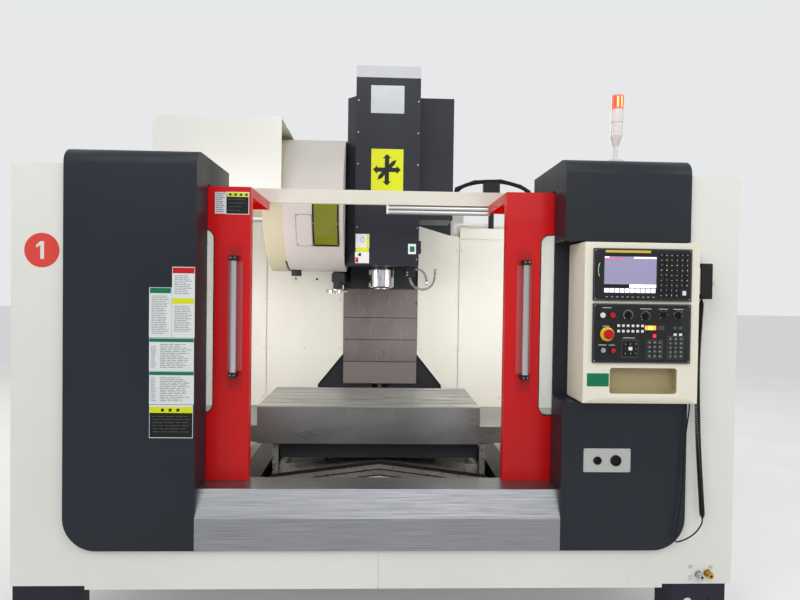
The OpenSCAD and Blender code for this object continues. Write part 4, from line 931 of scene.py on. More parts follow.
def strokes(colour, x, z, depth, pitch, height, seed, body="machine"):
    """Rows of short dashes in place of print: row k starts at z1 - k pitch and its dashes
    have lengths drawn from a fixed random stream."""
    dice = np.random.RandomState(seed)
    row = z[1]
    while row - height > z[0]:
        u = x[0]
        end = x[1] - dice.uniform(0, 0.35) * (x[1] - x[0])
        while u < end:
            length = dice.uniform(0.08, 0.3) * (x[1] - x[0])
            rect(colour, (u, min(u + length, end)), (row - height, row), depth, 0.3, body)
            u += length + 0.04 * (x[1] - x[0])
        row -= pitch


print(len(sheet_looks), "colours of sheet and print")

# %% [markdown]
# Plates on the left tower and the left door
#
# Five warning and data plates stand on the left tower, and two at the top of the left
# door. Each could be one textured plane, but then its edge would be flat and its bands
# blurred. Thin blocks give every plate a real edge, and bands and strokes lie a few
# tenths of a millimetre in front of it, so that no two faces share a plane.

# %% Plates on the left tower and the left door
TOWER = -1.0  # depth of the plates' front on the tower, in millimetres
for x, z in (((-878, -784), (1347, 1644)), ((-972, -879), (1347, 1557)),
             ((-971, -786), (1207, 1345)), ((-970, -785), (1067, 1206)),
             ((-969, -788), (925, 1065))):
    rect("paper", x, z, TOWER, 1.1)
for colour, x, z in (("red", (-876, -786), (1617, 1641)), ("yellow", (-877, -788), (1490, 1513)),
                     ("green", (-969, -882), (1533, 1555)), ("green", (-970, -787), (1329, 1343)),
                     ("green", (-969, -786), (1190, 1204)), ("yellow", (-967, -790), (1031, 1056)),
                     ("black", (-967, -790), (928, 1031))):
    rect(colour, x, z, TOWER - 0.4)
for seed, (x, z) in enumerate((((-868, -796), (1526, 1608)), ((-868, -796), (1372, 1480)),
                               ((-962, -888), (1362, 1522)), ((-925, -796), (1216, 1320)),
                               ((-925, -796), (1078, 1180)), ((-963, -940), (1216, 1310)),
                               ((-963, -940), (1078, 1180)))):
    strokes("ink", x, z, TOWER - 0.35, 7.4, 2.4, seed)
strokes("grey", (-955, -800), (945, 1018), TOWER - 0.8, 13, 3.0, 11)
for k in range(3):
    rect("black", (-920 + 32 * k, -908 + 32 * k), (1037, 1049), TOWER - 0.8)

DOOR = 168.8  # the same on the door
rect("paper", (-750, -700), (1890, 1986), DOOR, 1.2, "door_left")
rect("paper", (-701, -599), (1888, 1988), DOOR, 1.2, "door_left")
rect("black", (-699, -602), (1891, 1966), DOOR - 0.4, 0.5, "door_left")
rect("yellow", (-699, -602), (1967, 1985), DOOR - 0.4, 0.5, "door_left")
strokes("ink", (-746, -706), (1896, 1982), DOOR - 0.35, 9, 4, 21, "door_left")
strokes("grey", (-690, -612), (1904, 1956), DOOR - 0.8, 16, 3.5, 22, "door_left")
for k in range(4):
    rect("black", (-688 + 24 * k, -678 + 24 * k), (1971, 1981), DOOR - 0.8, 0.5, "door_left")
print("sheets so far:", sorted(sheets))

# %% [markdown]
# Plates on the head
#
# The head's cover carries a silver plate, which stays bare, a yellow plate with the
# directions of the axes and three small ones. The arrows could be a font's signs, but
# text has to be turned into a mesh first. An outline of ten corners is simpler, and
# each of the three arrows lies 0.1 mm above the one before, so that their crossing
# doesn't flicker.

# %% Plates on the head
HEAD = 1048.6  # depth of the plates' front on the head cover
for colour, x, z, lift in (
        ("silver", (-76, 123), (2616, 2781), 0.0), ("yellow", (-70, 122), (2151, 2403), 0.0),
        ("paper", (-158, -76), (1808, 1893), 0.0), ("paper", (-160, -76), (1718, 1786), 0.0),
        ("yellow", (-156, -78), (1787, 1811), 0.3), ("yellow", (-92, -78), (1811, 1889), 0.3),
        ("red", (-158, -140), (1722, 1752), 0.3), ("black", (-140, -124), (1760, 1778), 0.3),
        ("paper", (158, 205), (1777, 1838), 0.0), ("green", (168, 197), (1790, 1824), 0.3)):
    rect(colour, x, z, HEAD - lift, 1.5, "head")


def arrow(centre, length, width, point_width, turn, lift, point_length=25):
    """Double arrow about a centre in X and Z: half an outline, the same half turned
    round, and both turned by an angle in degrees."""
    neck = length / 2 - point_length
    half = [(neck, width / 2), (neck, point_width / 2), (length / 2, 0),
            (neck, -point_width / 2), (neck, -width / 2)]
    outline = [(u, -w) for u, w in half] + [(-u, w) for u, w in half]
    c, s = math.cos(math.radians(turn)), math.sin(math.radians(turn))
    outline = [(centre[0] + u * c - w * s, centre[1] + u * s + w * c) for u, w in outline]
    sheet("black", "head").add(*plate(outline, HEAD - 0.5 - lift, HEAD + 0.1))


for k, sizes in enumerate(((188, 26, 52, 90), (166, 26, 52, 0), (166, 24, 24, 47))):
    arrow((24, 2279), *sizes, lift=0.1 * k)

ring = Piece("head_plate_ring", "head", sheet_looks["grey"].mat)
angle = np.linspace(0, 2 * math.pi, 24, endpoint=False)
oval = np.stack([np.cos(angle), np.sin(angle)], 1)
ring.add(*frame_plate((-117, 1858) + oval * (11, 17), (-117, 1858) + oval * (8.5, 14.5),
                      HEAD - 0.4, HEAD + 0.2))
ring.build()

# %% [markdown]
# Number disc and green plate
#
# A red disc with a plain figure sits on the white strip beside the left tower, and a
# green plate beside the pocket of the control box. The figure could come from a font,
# but it is only an upright bar with a short flag, so two small plates draw it.

# %% Number disc and green plate
round_part("number_disc", plain("disc_red", (222, 72, 62), 0.4),
           [(0.072, 0), (0.072, 0.0012), (0.0, 0.0012)], at(-1423, 20.2, 1706), around=64)
rect("white", (-1429, -1414), (1669, 1743), 18.6, 0.6)
flag = [(-1446, 1727), (-1446, 1716), (-1429, 1727), (-1429, 1743)]
sheet("white").add(*plate(flag, 18.6, 19.2))
rect("green", (863, 956), (1167, 1222), -60.8, 1.0)
print("sheets so far:", sorted(sheets))

# %% [markdown]
# The display
#
# The screen is a lit sheet in its recess, with a head line, a message line and ten lit
# labels over the soft keys. A picture could fill the screen, but it needs a UV map. Lit
# rectangles give the same bands of light, and each lies a little in front of the sheet
# that carries it.

# %% The display
FACE = -68.0  # depth of the panels' face, in millimetres
for colour, x, z, sunk, thick in (
        ("gold", (929, 1121), (1729, 1739), -0.5, 0.6),
        ("screen", (926, 1147), (1597, 1713), 1.4, 0.5),
        ("screen_white", (927, 946), (1707, 1712), 1.1, 0.5),
        ("screen_white", (1050, 1146), (1705, 1712), 1.1, 0.5),
        ("lit_red", (930, 1000), (1699, 1702), 1.1, 0.5),
        ("black", (926, 1033), (1582, 1597), 1.4, 0.5),
        ("screen_white", (1033, 1147), (1583, 1597), 1.4, 0.5),
        ("black", (926, 1147), (1559, 1582), 1.5, 0.4)):
    rect(colour, x, z, FACE + sunk, thick)
for k in range(10):
    rect("screen_white", (927 + 22 * k, 946 + 22 * k), (1562, 1580), FACE + 1.2)
print("display: sheets so far", sorted(sheets))

# %% [markdown]
# Keys
#
# Each key is a moulded cap with round corners and a few marks of print. The CAD part
# has raised keys already, and an Array modifier could copy one cap over them, but the
# fields have gaps and keys of other sizes. A loop over rows and columns sets a cap on
# each raised key, and each dark one carries three pale strokes at places from a fixed
# stream.

# %% Keys
caps = {}


def cap(colour, centre, size, proud=3.7):
    """Key cap with round corners over a raised CAD key."""
    if colour not in caps:
        caps[colour] = Piece(f"key_caps_{colour}", "machine", sheet_looks[colour].mat)
    x = (centre[0] - size[0] / 2 + 0.6, centre[0] + size[0] / 2 - 0.6)
    z = (centre[1] - size[1] / 2 + 0.6, centre[1] + size[1] / 2 - 0.6)
    caps[colour].add(*plate(rounded_outline(x, z, 1.6, 3), FACE - proud, FACE - 2.6))


def glyph(centre, size, seed, proud=4.0):
    """Three short strokes at places drawn from a fixed stream, as print on a key."""
    dice = np.random.RandomState(seed)
    for _ in range(3):
        w, h = (size, 1.0) if dice.rand() < 0.6 else (1.1, size * 0.8)
        u = centre[0] + dice.uniform(-0.3, 0.3) * size
        v = centre[1] + dice.uniform(-0.5, 0.5) * size
        rect("paper", (u - w / 2, u + w / 2), (v - h / 2, v + h / 2), FACE - proud, 0.4)


# the display's keys: soft keys under the screen, the letter field beside it
for i in range(10):
    cap("grey", (936 + 22 * i, 1544), (14, 9))
    rect("paper", (932 + 22 * i, 940 + 22 * i), (1543.4, 1544.6), FACE - 4.0, 0.4)
for i in range(6):
    for j in range(9):
        if not (i > 3 and j < 2):
            cap("black", (1166 + 22 * i, 1553 + 21 * j), (15, 15))
            glyph((1166 + 22 * i, 1553 + 21 * j), 5.0, 100 + 9 * i + j)
cap("white", (1265, 1563), (17, 20))

# the operator's keys: mode row, lit row, cross of axis keys, number and function fields
for i in range(6):
    for z in (1401, 1424):
        cap("white", (989 + 20.3 * i, z), (13, 12))
for i, colour in enumerate(("amber", "lemon", "lemon", "amber", "dim_red", "grey", "grey")):
    rect(colour, (1102 + 12 * i, 1111.5 + 12 * i), (1407, 1425), FACE - 2.6, 2.8)
cap("lit_red", (1142, 1382), (15, 15))
for i in range(-1, 2):
    for j in range(-1, 2):
        centre = (1041 + 22 * i, 1328 + 20 * j)
        cap("white" if i == j == 0 else "black", centre, (18, 16))
        if (i, j) != (0, 0):
            glyph(centre, 4.0, 200 + 3 * i + j)
for i in range(3):
    for left, pitch, count, seed in ((1122, 19, 4, 300), (1211, 18, 5, 400)):
        for j in range(count):
            cap("grey", (left + 22 * i, 1298 + pitch * j), (18, 15))
            glyph((left + 22 * i, 1298 + pitch * j), 4.0, seed + count * i + j)
for u in (1230, 1253):
    cap("white", (u, 1389), (15, 12))
    rect("grey", (u - 8, u + 8), (1410, 1423), FACE - 1.2, 1.4)
print("key caps in", sorted(caps))

# %% [markdown]
# Frames, headings and scales
#
# Fine printed frames group the keys, short headings stand over them, and the four
# rotary switches have scales of radial dashes over 270 degrees. A bevelled curve could
# draw the frames, but flat rings between two outlines stay 0.25 mm thin. Each dash runs
# from one radius to another along its direction.

# %% Frames, headings and scales
for x, z, corner, line in (((884, 1295), (1270, 1513), 3, 1.0),
                           ((883, 1295), (1530, 1744), 3, 1.0),
                           ((1006, 1075), (1292, 1364), 2, 0.8),
                           ((1109, 1178), (1286, 1366), 2, 0.8),
                           ((1198, 1267), (1286, 1381), 2, 0.8)):
    outer = rounded_outline(x, z, corner, 3)
    inner = rounded_outline(grown(x, -line), grown(z, -line), 0.8 * corner, 3)
    sheet("ink").add(*frame_plate(outer, inner, FACE - 0.25, FACE + 0.2))
for x, z in (((921, 958), 1497), ((1081, 1128), 1494), ((1160, 1198), 1494), ((1222, 1264), 1494),
             ((923, 950), 1420), ((1010, 1060), 1372), ((905, 940), 1341), ((950, 975), 1341)):
    rect("paper", x, (z, z + 2.2), FACE - 0.3, 0.4)

for centre, count, radius in (((1030, 1469), 21, 17), ((1104, 1465), 15, 17),
                              ((1181, 1471), 6, 15), ((1243, 1471), 10, 15)):
    for k in range(count):
        a = math.radians(225 - 270 * k / (count - 1))
        outward = np.array([math.cos(a), math.sin(a)])
        side = 0.5 * np.array([-math.sin(a), math.cos(a)])
        near = centre + radius * outward
        far = centre + (radius + (5.5 if k % 2 == 0 else 3.5)) * outward
        dash = [near + side, near - side, far - side, far + side]
        sheet("paper").add(*plate(dash, FACE - 0.3, FACE + 0.2))
print("faces of paper:", len(sheet("paper").faces))

# %% [markdown]
# Collar, buttons and the card slot's grip
#
# Round the emergency stop sits a yellow collar, below it a red push button and a key
# switch, and left of the screen a small bent grip. The buttons are turned parts with a
# chamfered edge; a cylinder with a bevel would do, but the key switch has a sunk face.
# The grip is a bar of round steel on a smoothed path.

# %% Collar, buttons and the card slot's grip
round_part("stop_collar", plain("collar_yellow", (240, 196, 40), 0.35),
           [(0.0105, 0), (0.0292, 0), (0.0292, 0.0024), (0.0275, 0.0032), (0.0105, 0.0032)],
           at(942, FACE, 1388))
round_part("red_button", stop_red,
           [(0.0096, 0), (0.0096, 0.0018), (0.0082, 0.0026), (0.0, 0.0030)],
           at(965, -77.8, 1319), around=32)
round_part("key_switch", bright,
           [(0.0098, 0), (0.0098, 0.0012), (0.0074, 0.0016), (0.0070, 0.0004), (0.0, 0.0004)],
           at(923, -77.8, 1321), around=32)
rect("black", (921.9, 924.1), (1315, 1327), -78.8, 0.8)
grip = Piece("card_grip", "machine", rail_steel.mat)
grip.add(*tube(smooth_path([at(907, -67.5, 1626), at(903, -73, 1628), at(898, -75, 1640),
                            at(896, -75, 1656), at(898, -75, 1672), at(903, -73, 1684),
                            at(907, -67.5, 1686)], 0.003), 0.0022, 10))
grip.build()
for piece in caps.values():
    piece.build(bevel=0.0005)

# %% [markdown]
# Screws on the front and inside
#
# A screw head is a shallow dome with a socket. It could be one object copied by a
# Geometry Nodes setup, but the heads of one body ride as one piece anyway. So each is
# turned once and added to that piece. They hold the two panels, the socket plate, the
# door handles, the head's cover and the walls of the working room. Where a face is
# curved, the head is turned about its normal.

# %% Screws on the front and inside
SCREW = np.array([(1, 0), (1, 0.25), (0.8, 0.45), (0.5, 0.48), (0.46, 0.12), (0, 0.12)])
screws = {}


def screw(x, depth, z, r, body="machine", axis="-y", normal=None):
    """Screw head of radius r in millimetres: its profile in head radii, turned about an
    axis, or about z and then onto the unit vectors (across, along, normal)."""
    if body not in screws:
        screws[body] = Piece(f"screws_{body}", body, rail_steel.mat)
    if normal is None:
        points, faces = turned(SCREW * r / 1000, (0, 0, 0), axis, 14)
    else:
        n = unit(np.array(normal, float))
        u = unit(np.cross(n, [1, 0, 0]))
        points, faces = turned(SCREW * r / 1000, (0, 0, 0), "z", 14)
        points = points @ np.array([np.cross(u, n), u, n])
    screws[body].add(points + np.array(at(x, depth, z)), faces)


for x in (889, 1290):
    for z in (1276, 1507, 1536, 1738):
        screw(x, FACE, z, 2.6)
for x in (884, 1073):
    for z in (795, 881):
        screw(x, -3, z, 3.2)
for z in np.linspace(1745, 2690, 6):
    screw(-150, 1050, z, 4.5, "head")
    screw(210, 1050, z, 4.5, "head")
for x in np.linspace(-250, 250, 6):
    screw(x, 1887, 1365, 3.4, "head")

# the walls of the working room, left free behind the column and the magazine
for x in (-1480, -1160, -862, -822, -560, -300, 300, 563, 603, 900, 1200, 1480):
    for z in (760, 1120, 1480, 1860):
        if not (abs(x) == 300 and z < 1100) and not (-600 < x < -200 and z == 1860):
            screw(x, 1900, z, 4.0)
for x in (-657, 648):
    body = "door_left" if x < 0 else "door_right"
    for z in (1173, 1692):
        for side in (-9, 9):
            screw(x + side, 114, z, 3.0, body)
print("screws on", sorted(screws))

# %% [markdown]
# Window and hatch of the tool magazine
#
# The drum's cover has a yellow-green window in a black frame and a hatch beside it,
# both bent round the drum. A flat plate with a Curve modifier could be bent too. Since
# the drum is a cylinder, its own formula is shorter: a patch in X and Z lies at depth =
# axis depth - sqrt(R^2 - (z - axis height)^2), once for the front radius and once for
# the back.

# %% Window and hatch of the tool magazine
DRUM = (1279.0, 2080.0)  # depth and height of the drum's axis, in millimetres


def drum_depth(radius, z):
    """Depth of the drum's front at a radius and a height."""
    return DRUM[0] - np.sqrt(radius ** 2 - (z - DRUM[1]) ** 2)


def drum_patch(x, z, low, high, steps=12):
    """Closed curved plate on the drum between two radii, from limits in X and Z: four
    lines of points up the drum, outer pair first, joined by four faces at each step."""
    rows = np.linspace(z[0], z[1], steps + 1)
    lines = [np.stack(np.broadcast_arrays(*at(u, drum_depth(radius, rows), rows)), 1)
             for radius in (high, low) for u in x]
    n = steps + 1
    k = np.arange(steps)
    a, b, c, d = k, n + k, 2 * n + k, 3 * n + k
    quads = [(a, a + 1, b + 1, b), (c, d, d + 1, c + 1), (a, c, c + 1, a + 1), (b, b + 1, d + 1, d)]
    faces = np.array(quads).transpose(2, 0, 1).reshape(-1, 4).tolist()
    faces += [(0, n, 3 * n, 2 * n), (steps, 2 * n + steps, 3 * n + steps, n + steps)]
    return np.concatenate(lines), faces


def border(x, z, width):
    """Four strips along the inside of a rectangle, as limits in X and Z."""
    inside = (z[0] + width, z[1] - width)
    return ((x, (z[0], inside[0])), (x, (inside[1], z[1])), ((x[0], x[0] + width), inside),
            ((x[1] - width, x[1]), inside))


def drum_frame(name, look, x, z, width, low, high):
    """Frame of four strips on the drum."""
    strips = Piece(name, "machine", look.mat)
    for strip_x, strip_z in border(x, z, width):
        strips.add(*drum_patch(strip_x, strip_z, low, high))
    strips.build()


drum_frame("window_frame", black, (-400, -249), (1808, 2057), 9, 412.8, 414.6)
hatch_x, hatch_z = (-495, -403), (1808, 1983)
hatch = Piece("drum_hatch", "machine", plain("hatch_lilac", (204, 194, 198), 0.42).mat)
hatch.add(*drum_patch(hatch_x, hatch_z, 410.0, 411.4))
hatch.build()
drum_frame("hatch_rim", sheet_looks["ink"], hatch_x, hatch_z, 2.5, 410.0, 411.9)
for columns, heights, radius in (((-489, -409), (1816, 1975), 411.5),
                                 ((-395.5, -253.5), (1816, 1932, 2049), 414.6)):
    for x in columns:
        for z in heights:
            depth = drum_depth(radius, z)
            screw(x, depth, z, 3.5, normal=(0, depth - DRUM[0], z - DRUM[1]))
print("screws on", sorted(screws))

# %% [markdown]
# The back of the machine
#
# The photograph doesn't show the rear, so only what such machines commonly have goes
# there: screws along the sheet edges of the enclosure, the cabinet, the cable box and
# the tank. They join the same pieces as the screws in front, so that the back costs no
# further objects.

# %% The back of the machine
for side in (-1, 1):
    for x in (575, 890, 1205, 1520):
        for z in (320, 750, 1180, 1610, 2040):
            if x in (575, 1520) or z in (320, 2040):
                screw(side * x, 1950, z, 4.5, axis="y")
    for y in (80, 540, 1000, 1460, 1910):
        screw(side * 1525, y, 2070, 4.5, axis="z")
    for y in (2562, 2798):
        for z in (475, 915, 1350, 1790, 2225):
            screw(side * 700, y, z, 4.0, axis="x" if side > 0 else "-x")
for u in np.linspace(0, 1, 4):
    screw(-1255 + 560 * u, 1750, 2092, 4.0, axis="y")
    screw(-1275, 845 + 880 * u, 2092, 4.0, axis="-x")
    screw(-1480 + 640 * u, 2020, 350, 4.0, axis="z")
    screw(-1480 + 640 * u, 2680, 350, 4.0, axis="z")
print("screw meshes:", {body: len(piece.faces) for body, piece in screws.items()})

# %% [markdown]
# Drives and breakers in the cabinet
#
# When the cabinet door swings open, four drives, a row of terminals and ten contactors
# show. Each drive is a box of the CAD part; its front plate, its small display, its
# slots and its terminal strip are added here. They could be modelled into the part, but
# they only need a look, and as thin blocks they join the sheets of colour that exist
# already.

# %% Drives and breakers in the cabinet
def slab(colour, x, depth, z):
    """Box of a sheet colour between limits in X, depth and Z."""
    sheet(colour).add(*box(x, depth, z))


for i in range(4):
    left = -560 + 290 * i
    slab("black", (left + 14, left + 206), (2712, 2715), (1545, 1950))
    slab("screen", (left + 70, left + 150), (2715, 2716), (1880, 1925))
    slab("green", (left + 20, left + 200), (2700, 2724), (1962, 1988))
    slab("paper", (left + 30, left + 190), (2712, 2714), (1508, 1534))
    for k in range(6):
        screw(left + 35 + 30 * k, 2724, 1975, 5.0, axis="y")
        slab("grey", (left + 30, left + 190), (2715, 2716.5), (1570 + 18 * k, 1578 + 18 * k))
for k in range(54):
    slab("black", (-551 + 20.6 * k, -545 + 20.6 * k), (2596, 2597.5), (1310, 1370))
for i in range(10):
    left = -540 + 110 * i
    slab("black", (left + 26, left + 44), (2633, 2648), (1112, 1140))
    slab("grey", (left + 8, left + 62), (2632, 2633.6), (1168, 1180))
    for u in (18, 52):
        for z in (1062, 1190):
            screw(left + u, 2633, z, 4.5, axis="y")
print("drives, terminals and contactors in", sorted(sheets))

# %% [markdown]
# Pump, tank and lubrication unit
#
# The coolant pump has cooling ribs and a terminal box, the tank two lifting grips, a
# plug and a level glass, and the lubrication unit a pressure dial. Ribs could be cut
# into the motor with an array, but as thin rings round it they need no cut. The grips
# are bent bars.

# %% Pump, tank and lubrication unit
ribs = Piece("pump_ribs", "machine", tank_grey.mat)
for z in range(480, 650, 16):
    ribs.add(*turned([(0.070, 0), (0.077, 0.0008), (0.077, 0.0042), (0.070, 0.005)],
                     at(-1000, 2300, z), "z", 40))
ribs.build()
terminal = Piece("pump_terminal_box", "machine", motor.mat)
terminal.add(*block(at(-1036, 2366, 552), at(-964, 2420, 640)))
terminal.build(bevel=0.004)
grips = Piece("tank_fittings", "machine", rail_steel.mat)
for y in (2120, 2560):
    bend = [at(-1400, y, 349), at(-1400, y, 372), at(-1392, y, 384),
            at(-1268, y, 384), at(-1260, y, 372), at(-1260, y, 349)]
    grips.add(*tube(smooth_path(bend, 0.004), 0.0055, 12))
grips.add(*turned([(0.017, -0.001), (0.017, 0.010), (0.015, 0.012), (0, 0.012)],
                  at(-700, 2700, 92), "y", 6))
grips.add(*turned([(0.020, -0.001), (0.020, 0.014), (0.0185, 0.016), (0, 0.016)],
                  at(920, 2090, 1240), "y", 40))
grips.build()
slab("silver", (-1322, -1288), (2699, 2707), (110, 310))
slab("lemon", (-1313, -1297), (2707, 2708), (130, 290))
round_part("pressure_dial", button_white, [(0.0165, 0), (0.0165, 0.0006), (0, 0.0006)],
           at(920, 2106, 1240), "y", 40)
slab("black", (919.2, 920.8), (2106.6, 2107), (1238, 1253))

# %% [markdown]
# Screws and sheets become meshes
#
# All screws and marks are collected by now, so each collection becomes one mesh.
# Building them at the end, and not where they were added, keeps one object for each
# body and colour, which rides with its body when an axis or a door moves.

# %% Screws and sheets become meshes
for piece in screws.values():
    piece.build()
for piece in sheets.values():
    piece.build()

# %% [markdown]
# Segmented coolant hoses
#
# A coolant hose is a chain of ball joints beside the spindle. A single link with Array
# and Curve modifiers would stretch at the bends. Here a black tube on a smooth path runs
# inside the links as painted shade in the gaps between them, and each link, painted pale
# as painted highlight, is a short tube on a piece of the same path, whose radius runs
# through a lip, a bulge and a waist, so that the links follow every bend as real ones do.

# %% Segmented coolant hoses
# painted highlight: the links' pale tone stands in for the light on the beads
link_highlight_look = Look("hose_link_highlight", (178, 176, 168), 0.36).drift((120, 116, 108), 40.0)
HOSES = (
    [(205, 1250, 1690), (243, 1245, 1695), (278, 1240, 1665), (288, 1235, 1620), (289, 1233, 1594)],
    [(176, 1250, 1650), (190, 1240, 1600), (222, 1235, 1570), (270, 1230, 1562), (316, 1225, 1582),
     (336, 1220, 1625), (339, 1220, 1672), (338, 1219, 1696)],
)
LINK_R, LINK_PITCH = 0.0088, 0.0125
LINK = np.array([(0.0, 0.70), (0.04, 0.96), (0.22, 1.0), (0.5, 0.93), (0.62, 0.78), (0.70, 0.66)])
NOZZLE = np.array([(0.022, 0.0088), (0.018, 0.0088), (0.004, 0.0050), (0.0, 0.0046)])
# painted shade: a black tube inside the links fills the gaps between them with shade
gap_shade = Piece("coolant_gap_shade", "head", rubber.mat)
links = Piece("coolant_links", "head", link_highlight_look.mat)
tips = Piece("coolant_tips", "head", rail_steel.mat)
for corners in HOSES:
    path = smooth_path([at(*c) for c in corners], 0.0015)
    gap_shade.add(*tube(path, 0.0056, 12))
    length = walked(path)
    for k in range(int((length[-1] - NOZZLE[0, 0] - 0.002) / LINK_PITCH)):
        spots = spots_on(path, length, (k + LINK[:, 0]) * LINK_PITCH)
        links.add(*tube(spots, LINK[:, 1] * LINK_R, 18))
    back = unit(path[-1] - path[-9])
    tips.add(*tube(path[-1] - back * NOZZLE[:, :1], NOZZLE[:, 1], 18))
manifold = Piece("coolant_manifold", "head", motor.mat)
manifold.add(*block(at(150, 1230, 1640), at(212, 1320, 1705)))
for z in (1672, 1655):
    tips.add(*turned([(0.006, 0), (0.006, 0.004), (0.0045, 0.005), (0, 0.005)],
                     at(163, 1230, z), "-y", 6))
manifold_obj = manifold.build(bevel=0.003)
gap_shade.build()
links.build()
tips.build()
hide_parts("coolant_nozzles")

# %% [markdown]
# Wipers and lips of the covers
#
# A rubber wiper runs across the machine on the edge of each roof-shaped cover, a dark
# lip under each cover on the column, and a wiper round both ends of the table. A
# Solidify modifier on an edge could draw them, but the covers are loose triangles. They
# are thin closed strips with the covers' own outline, and stand out less than the gap
# to the next sheet.

# %% Wipers and lips of the covers
def chevron_strip(piece, peak, thick, depth, half=574.0, drop=74.0, reach=575.0):
    """Bent strip across the machine: a roof of two slopes with its ridge at the peak,
    which falls by drop over a reach."""
    low = peak - drop * half / reach
    outline = [(-half, low), (-half, low - thick), (0, peak - thick), (half, low - thick),
               (half, low), (0, peak)]
    n = len(outline)
    points = np.concatenate([placed(outline, depth[0]), placed(outline, depth[1])])
    faces = [(0, 1, 2, 5), (5, 2, 3, 4), (n + 5, n + 2, n + 1, n), (n + 4, n + 3, n + 2, n + 5)]
    faces += [(i, i + n, (i + 1) % n + n, (i + 1) % n) for i in range(n)]
    piece.add(points, faces)


for name, body, peak, thick, depth in (
        ("saddle_wiper", "saddle_unit", 634.0, 18.5, (684.0, 688.0)),
        ("middle_wiper", "y_cover_middle", 614.8, 5.0, (604.5, 608.0)),
        ("front_wiper", "y_cover_front", 608.8, 5.0, (524.5, 528.0))):
    lip = Piece(name, body, rubber.mat, smooth=False)
    chevron_strip(lip, peak, thick, depth)
    lip.build()

# the lower edge of each cover on the column: a dark lip over the next sheet
for stage, body in enumerate(("machine", "z_cover_lower", "z_cover_upper", "head")):
    lip = Piece(f"column_lip_{stage}", body, rubber.mat, smooth=False)
    front, low = 1899.0 - 4 * stage, 857.0 + 164 * stage
    proud = 0.6 if body == "head" else 0.15
    lip.add(*box((-271, 271), (front - proud, front + 0.3), (low + 0.5, low + 5.0)))
    lip.build()

# the table's wipers: two uprights and a bar above them at each end
wipers = Piece("table_wipers", "table_unit", rubber.mat, smooth=False)
for x in ((-940.0, -937.0), (823.0, 826.0)):
    for depth, z in (((700.0, 703.2), (729.0, 818.0)), ((1254.8, 1258.0), (729.0, 818.0)),
                     ((703.2, 1254.8), (814.8, 818.0))):
        wipers.add(*box(x, depth, z))
wipers.build()

# %% [markdown]
# Pane seals and the cable conduit
#
# A rubber section holds each door pane, seen from both sides, and a ribbed conduit
# carries the cables over the right side. The seal is a flat ring between two rounded
# outlines, in front of the pane and behind it. The conduit's rings could be a bump in
# the material, but they show in its outline, so its radius alternates from point to
# point.

# %% Pane seals and the cable conduit
for body, x in (("door_left", (-1179.0, -751.0)), ("door_right", (720.0, 1148.0))):
    seal = Piece(f"pane_seal_{body}", body, rubber.mat, smooth=False)
    outer = rounded_outline(grown(x, -0.4), (991.4, 1822.6), 44.6)
    inner = rounded_outline(grown(x, -5.0), (996.0, 1818.0), 40.0)
    seal.add(*frame_plate(outer, inner, 171.5, 177.8))
    seal.add(*frame_plate(outer, inner, 184.2, 189.0))
    seal.build()

conduit = smooth_path([at(520, 1975, 2235), at(545, 1975, 2235), at(565, 1975, 2335),
                       at(700, 1975, 2388), at(901, 1975, 2399), at(1050, 1975, 2362),
                       at(1115, 1965, 2320), at(1180, 1955, 2180), at(1190, 1948.5, 2090),
                       at(1190, 1948.5, 2070)], 0.0035, rounds=2)
rings = 0.0140 + 0.0016 * (np.arange(len(conduit)) % 2)
hose = Piece("conduit_ribs", "machine", rubber.mat, smooth=False)
hose.add(*tube(conduit[2:-2], rings[2:-2], 14))
hose.build()

# %% [markdown]
# Floor and backdrop
#
# The machine stands on a pale floor in a pale world. One sky could be both the light
# and the backdrop, but then a bright backdrop would wash out the paint. So diffuse rays
# meet a soft sky, and the camera, mirrors and panes see a plain backdrop. The floor has
# a little light of its own for the same rays, so that it runs into the backdrop and
# keeps the machine's shadow.

# %% Floor and backdrop
DIRECT = ("Is Camera Ray", "Is Glossy Ray", "Is Transmission Ray")
floor_mesh = bpy.data.meshes.new("floor")
floor_mesh.from_pydata([(-40, -40, -0.0005), (40, -40, -0.0005), (40, 40, -0.0005),
                        (-40, 40, -0.0005)], [], [(0, 1, 2, 3)])
floor = bpy.data.objects.new("floor", floor_mesh)
bpy.context.scene.collection.objects.link(floor)

bpy.context.scene.view_settings.view_transform = "Standard"
world = bpy.data.worlds.new("studio")
bpy.context.scene.world = world
world.use_nodes = True
tree = world.node_tree
sky = tree.nodes["Background"]
sky.inputs["Color"].default_value = (0.92, 0.94, 0.96, 1)
sky.inputs["Strength"].default_value = 0.55
backdrop = tree.nodes.new("ShaderNodeBackground")
backdrop.inputs["Color"].default_value = (0.80, 0.81, 0.82, 1)
rays = tree.nodes.new("ShaderNodeLightPath").outputs
seen = rays[DIRECT[0]]
for kind in DIRECT[1:]:
    either = tree.nodes.new("ShaderNodeMath")
    either.operation = "MAXIMUM"
    tree.links.new(seen, either.inputs[0])
    tree.links.new(rays[kind], either.inputs[1])
    seen = either.outputs[0]
choice = tree.nodes.new("ShaderNodeMixShader")
tree.links.new(seen, choice.inputs[0])
tree.links.new(sky.outputs[0], choice.inputs[1])
tree.links.new(backdrop.outputs[0], choice.inputs[2])
tree.links.new(choice.outputs[0], tree.nodes["World Output"].inputs["Surface"])

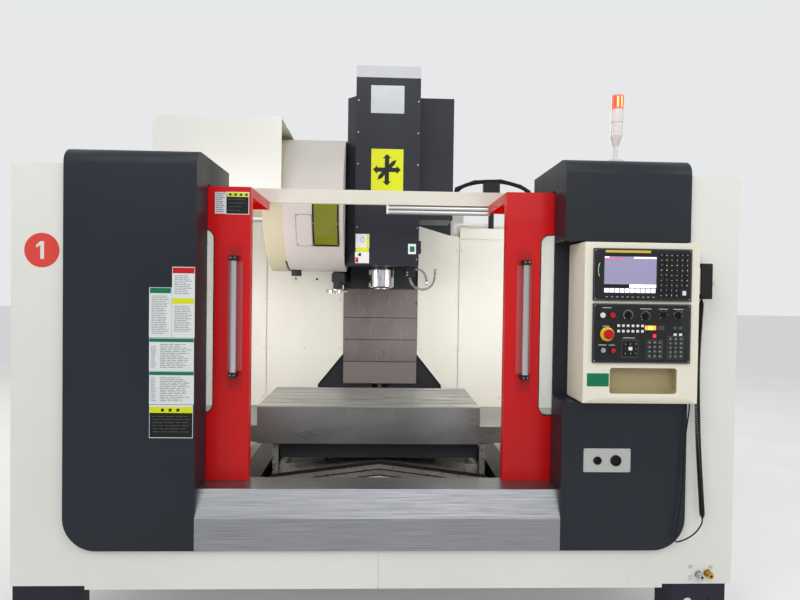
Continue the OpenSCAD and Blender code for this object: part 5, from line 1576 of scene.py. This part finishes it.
ground = powder("floor", (226, 226, 224), (218, 218, 216), rough=0.6)
rays = ground.node("ShaderNodeLightPath").outputs
direct = rays[DIRECT[0]]
for kind in DIRECT[1:]:
    direct = ground.math("MAXIMUM", direct, rays[kind])
ground.set("Emission Color", (1, 1, 1, 1)).set_where("Emission Strength", direct, 0.0, 0.2)
floor_mesh.materials.append(ground.mat)
print("floor and backdrop:", len(floor_mesh.polygons), "faces")

# %% [markdown]
# Soft lamps
#
# Eight square lamps light the machine: five large ones stand round it, so that every
# side reads, one shines in over the doors, and two small ones near the panes reach the
# working room. A sun would be simpler, but its hard shadows would hide the table. Each
# lamp's matrix points its -Z at the target, and none is seen by the camera.

# %% Soft lamps
def soft_lamp(name, place, target, size, power):
    """Square area lamp at a place in metres that shines at a target: z = place - target,
    x level and square to it, y = z times x."""
    data = bpy.data.lights.new(name, "AREA")
    data.shape = "SQUARE"
    data.size = size
    data.energy = power
    obj = bpy.data.objects.new(name, data)
    bpy.context.scene.collection.objects.link(obj)
    z = unit(np.array(place, float) - np.array(target, float))
    x = unit(np.cross([0, 0, 1], z))
    rows = np.eye(4)
    rows[:3] = np.stack([x, np.cross(z, x), z, place], 1)
    obj.matrix_world = Matrix(rows.tolist())
    obj.visible_camera = False


for name, place, target, size, power in (
        ("key", (-3.0, -5.5, 5.5), (0, 0, 1.2), 3.5, 85),
        ("front", (1.0, -5.8, 3.9), (0, 0, 1.2), 3.0, 42),
        ("fill", (5.5, -3.5, 3.5), (0, 0, 1.2), 3.0, 60),
        ("back", (1.0, 6.5, 5.0), (0, 0, 1.4), 3.0, 110),
        ("left", (-6.5, 1.5, 4.0), (0, 0, 1.2), 3.0, 70),
        ("inside", (0.0, -2.6, 4.4), (0, 0.5, 1.3), 1.6, 26),
        ("room_left", (-1.10, -0.95, 1.35), (-0.5, 0.5, 1.3), 0.7, 11),
        ("room_right", (1.05, -0.95, 1.35), (0.5, 0.5, 1.3), 0.7, 11)):
    soft_lamp(name, place, target, size, power)
    print(f"lamp {name}: {power} W, {size} m wide")
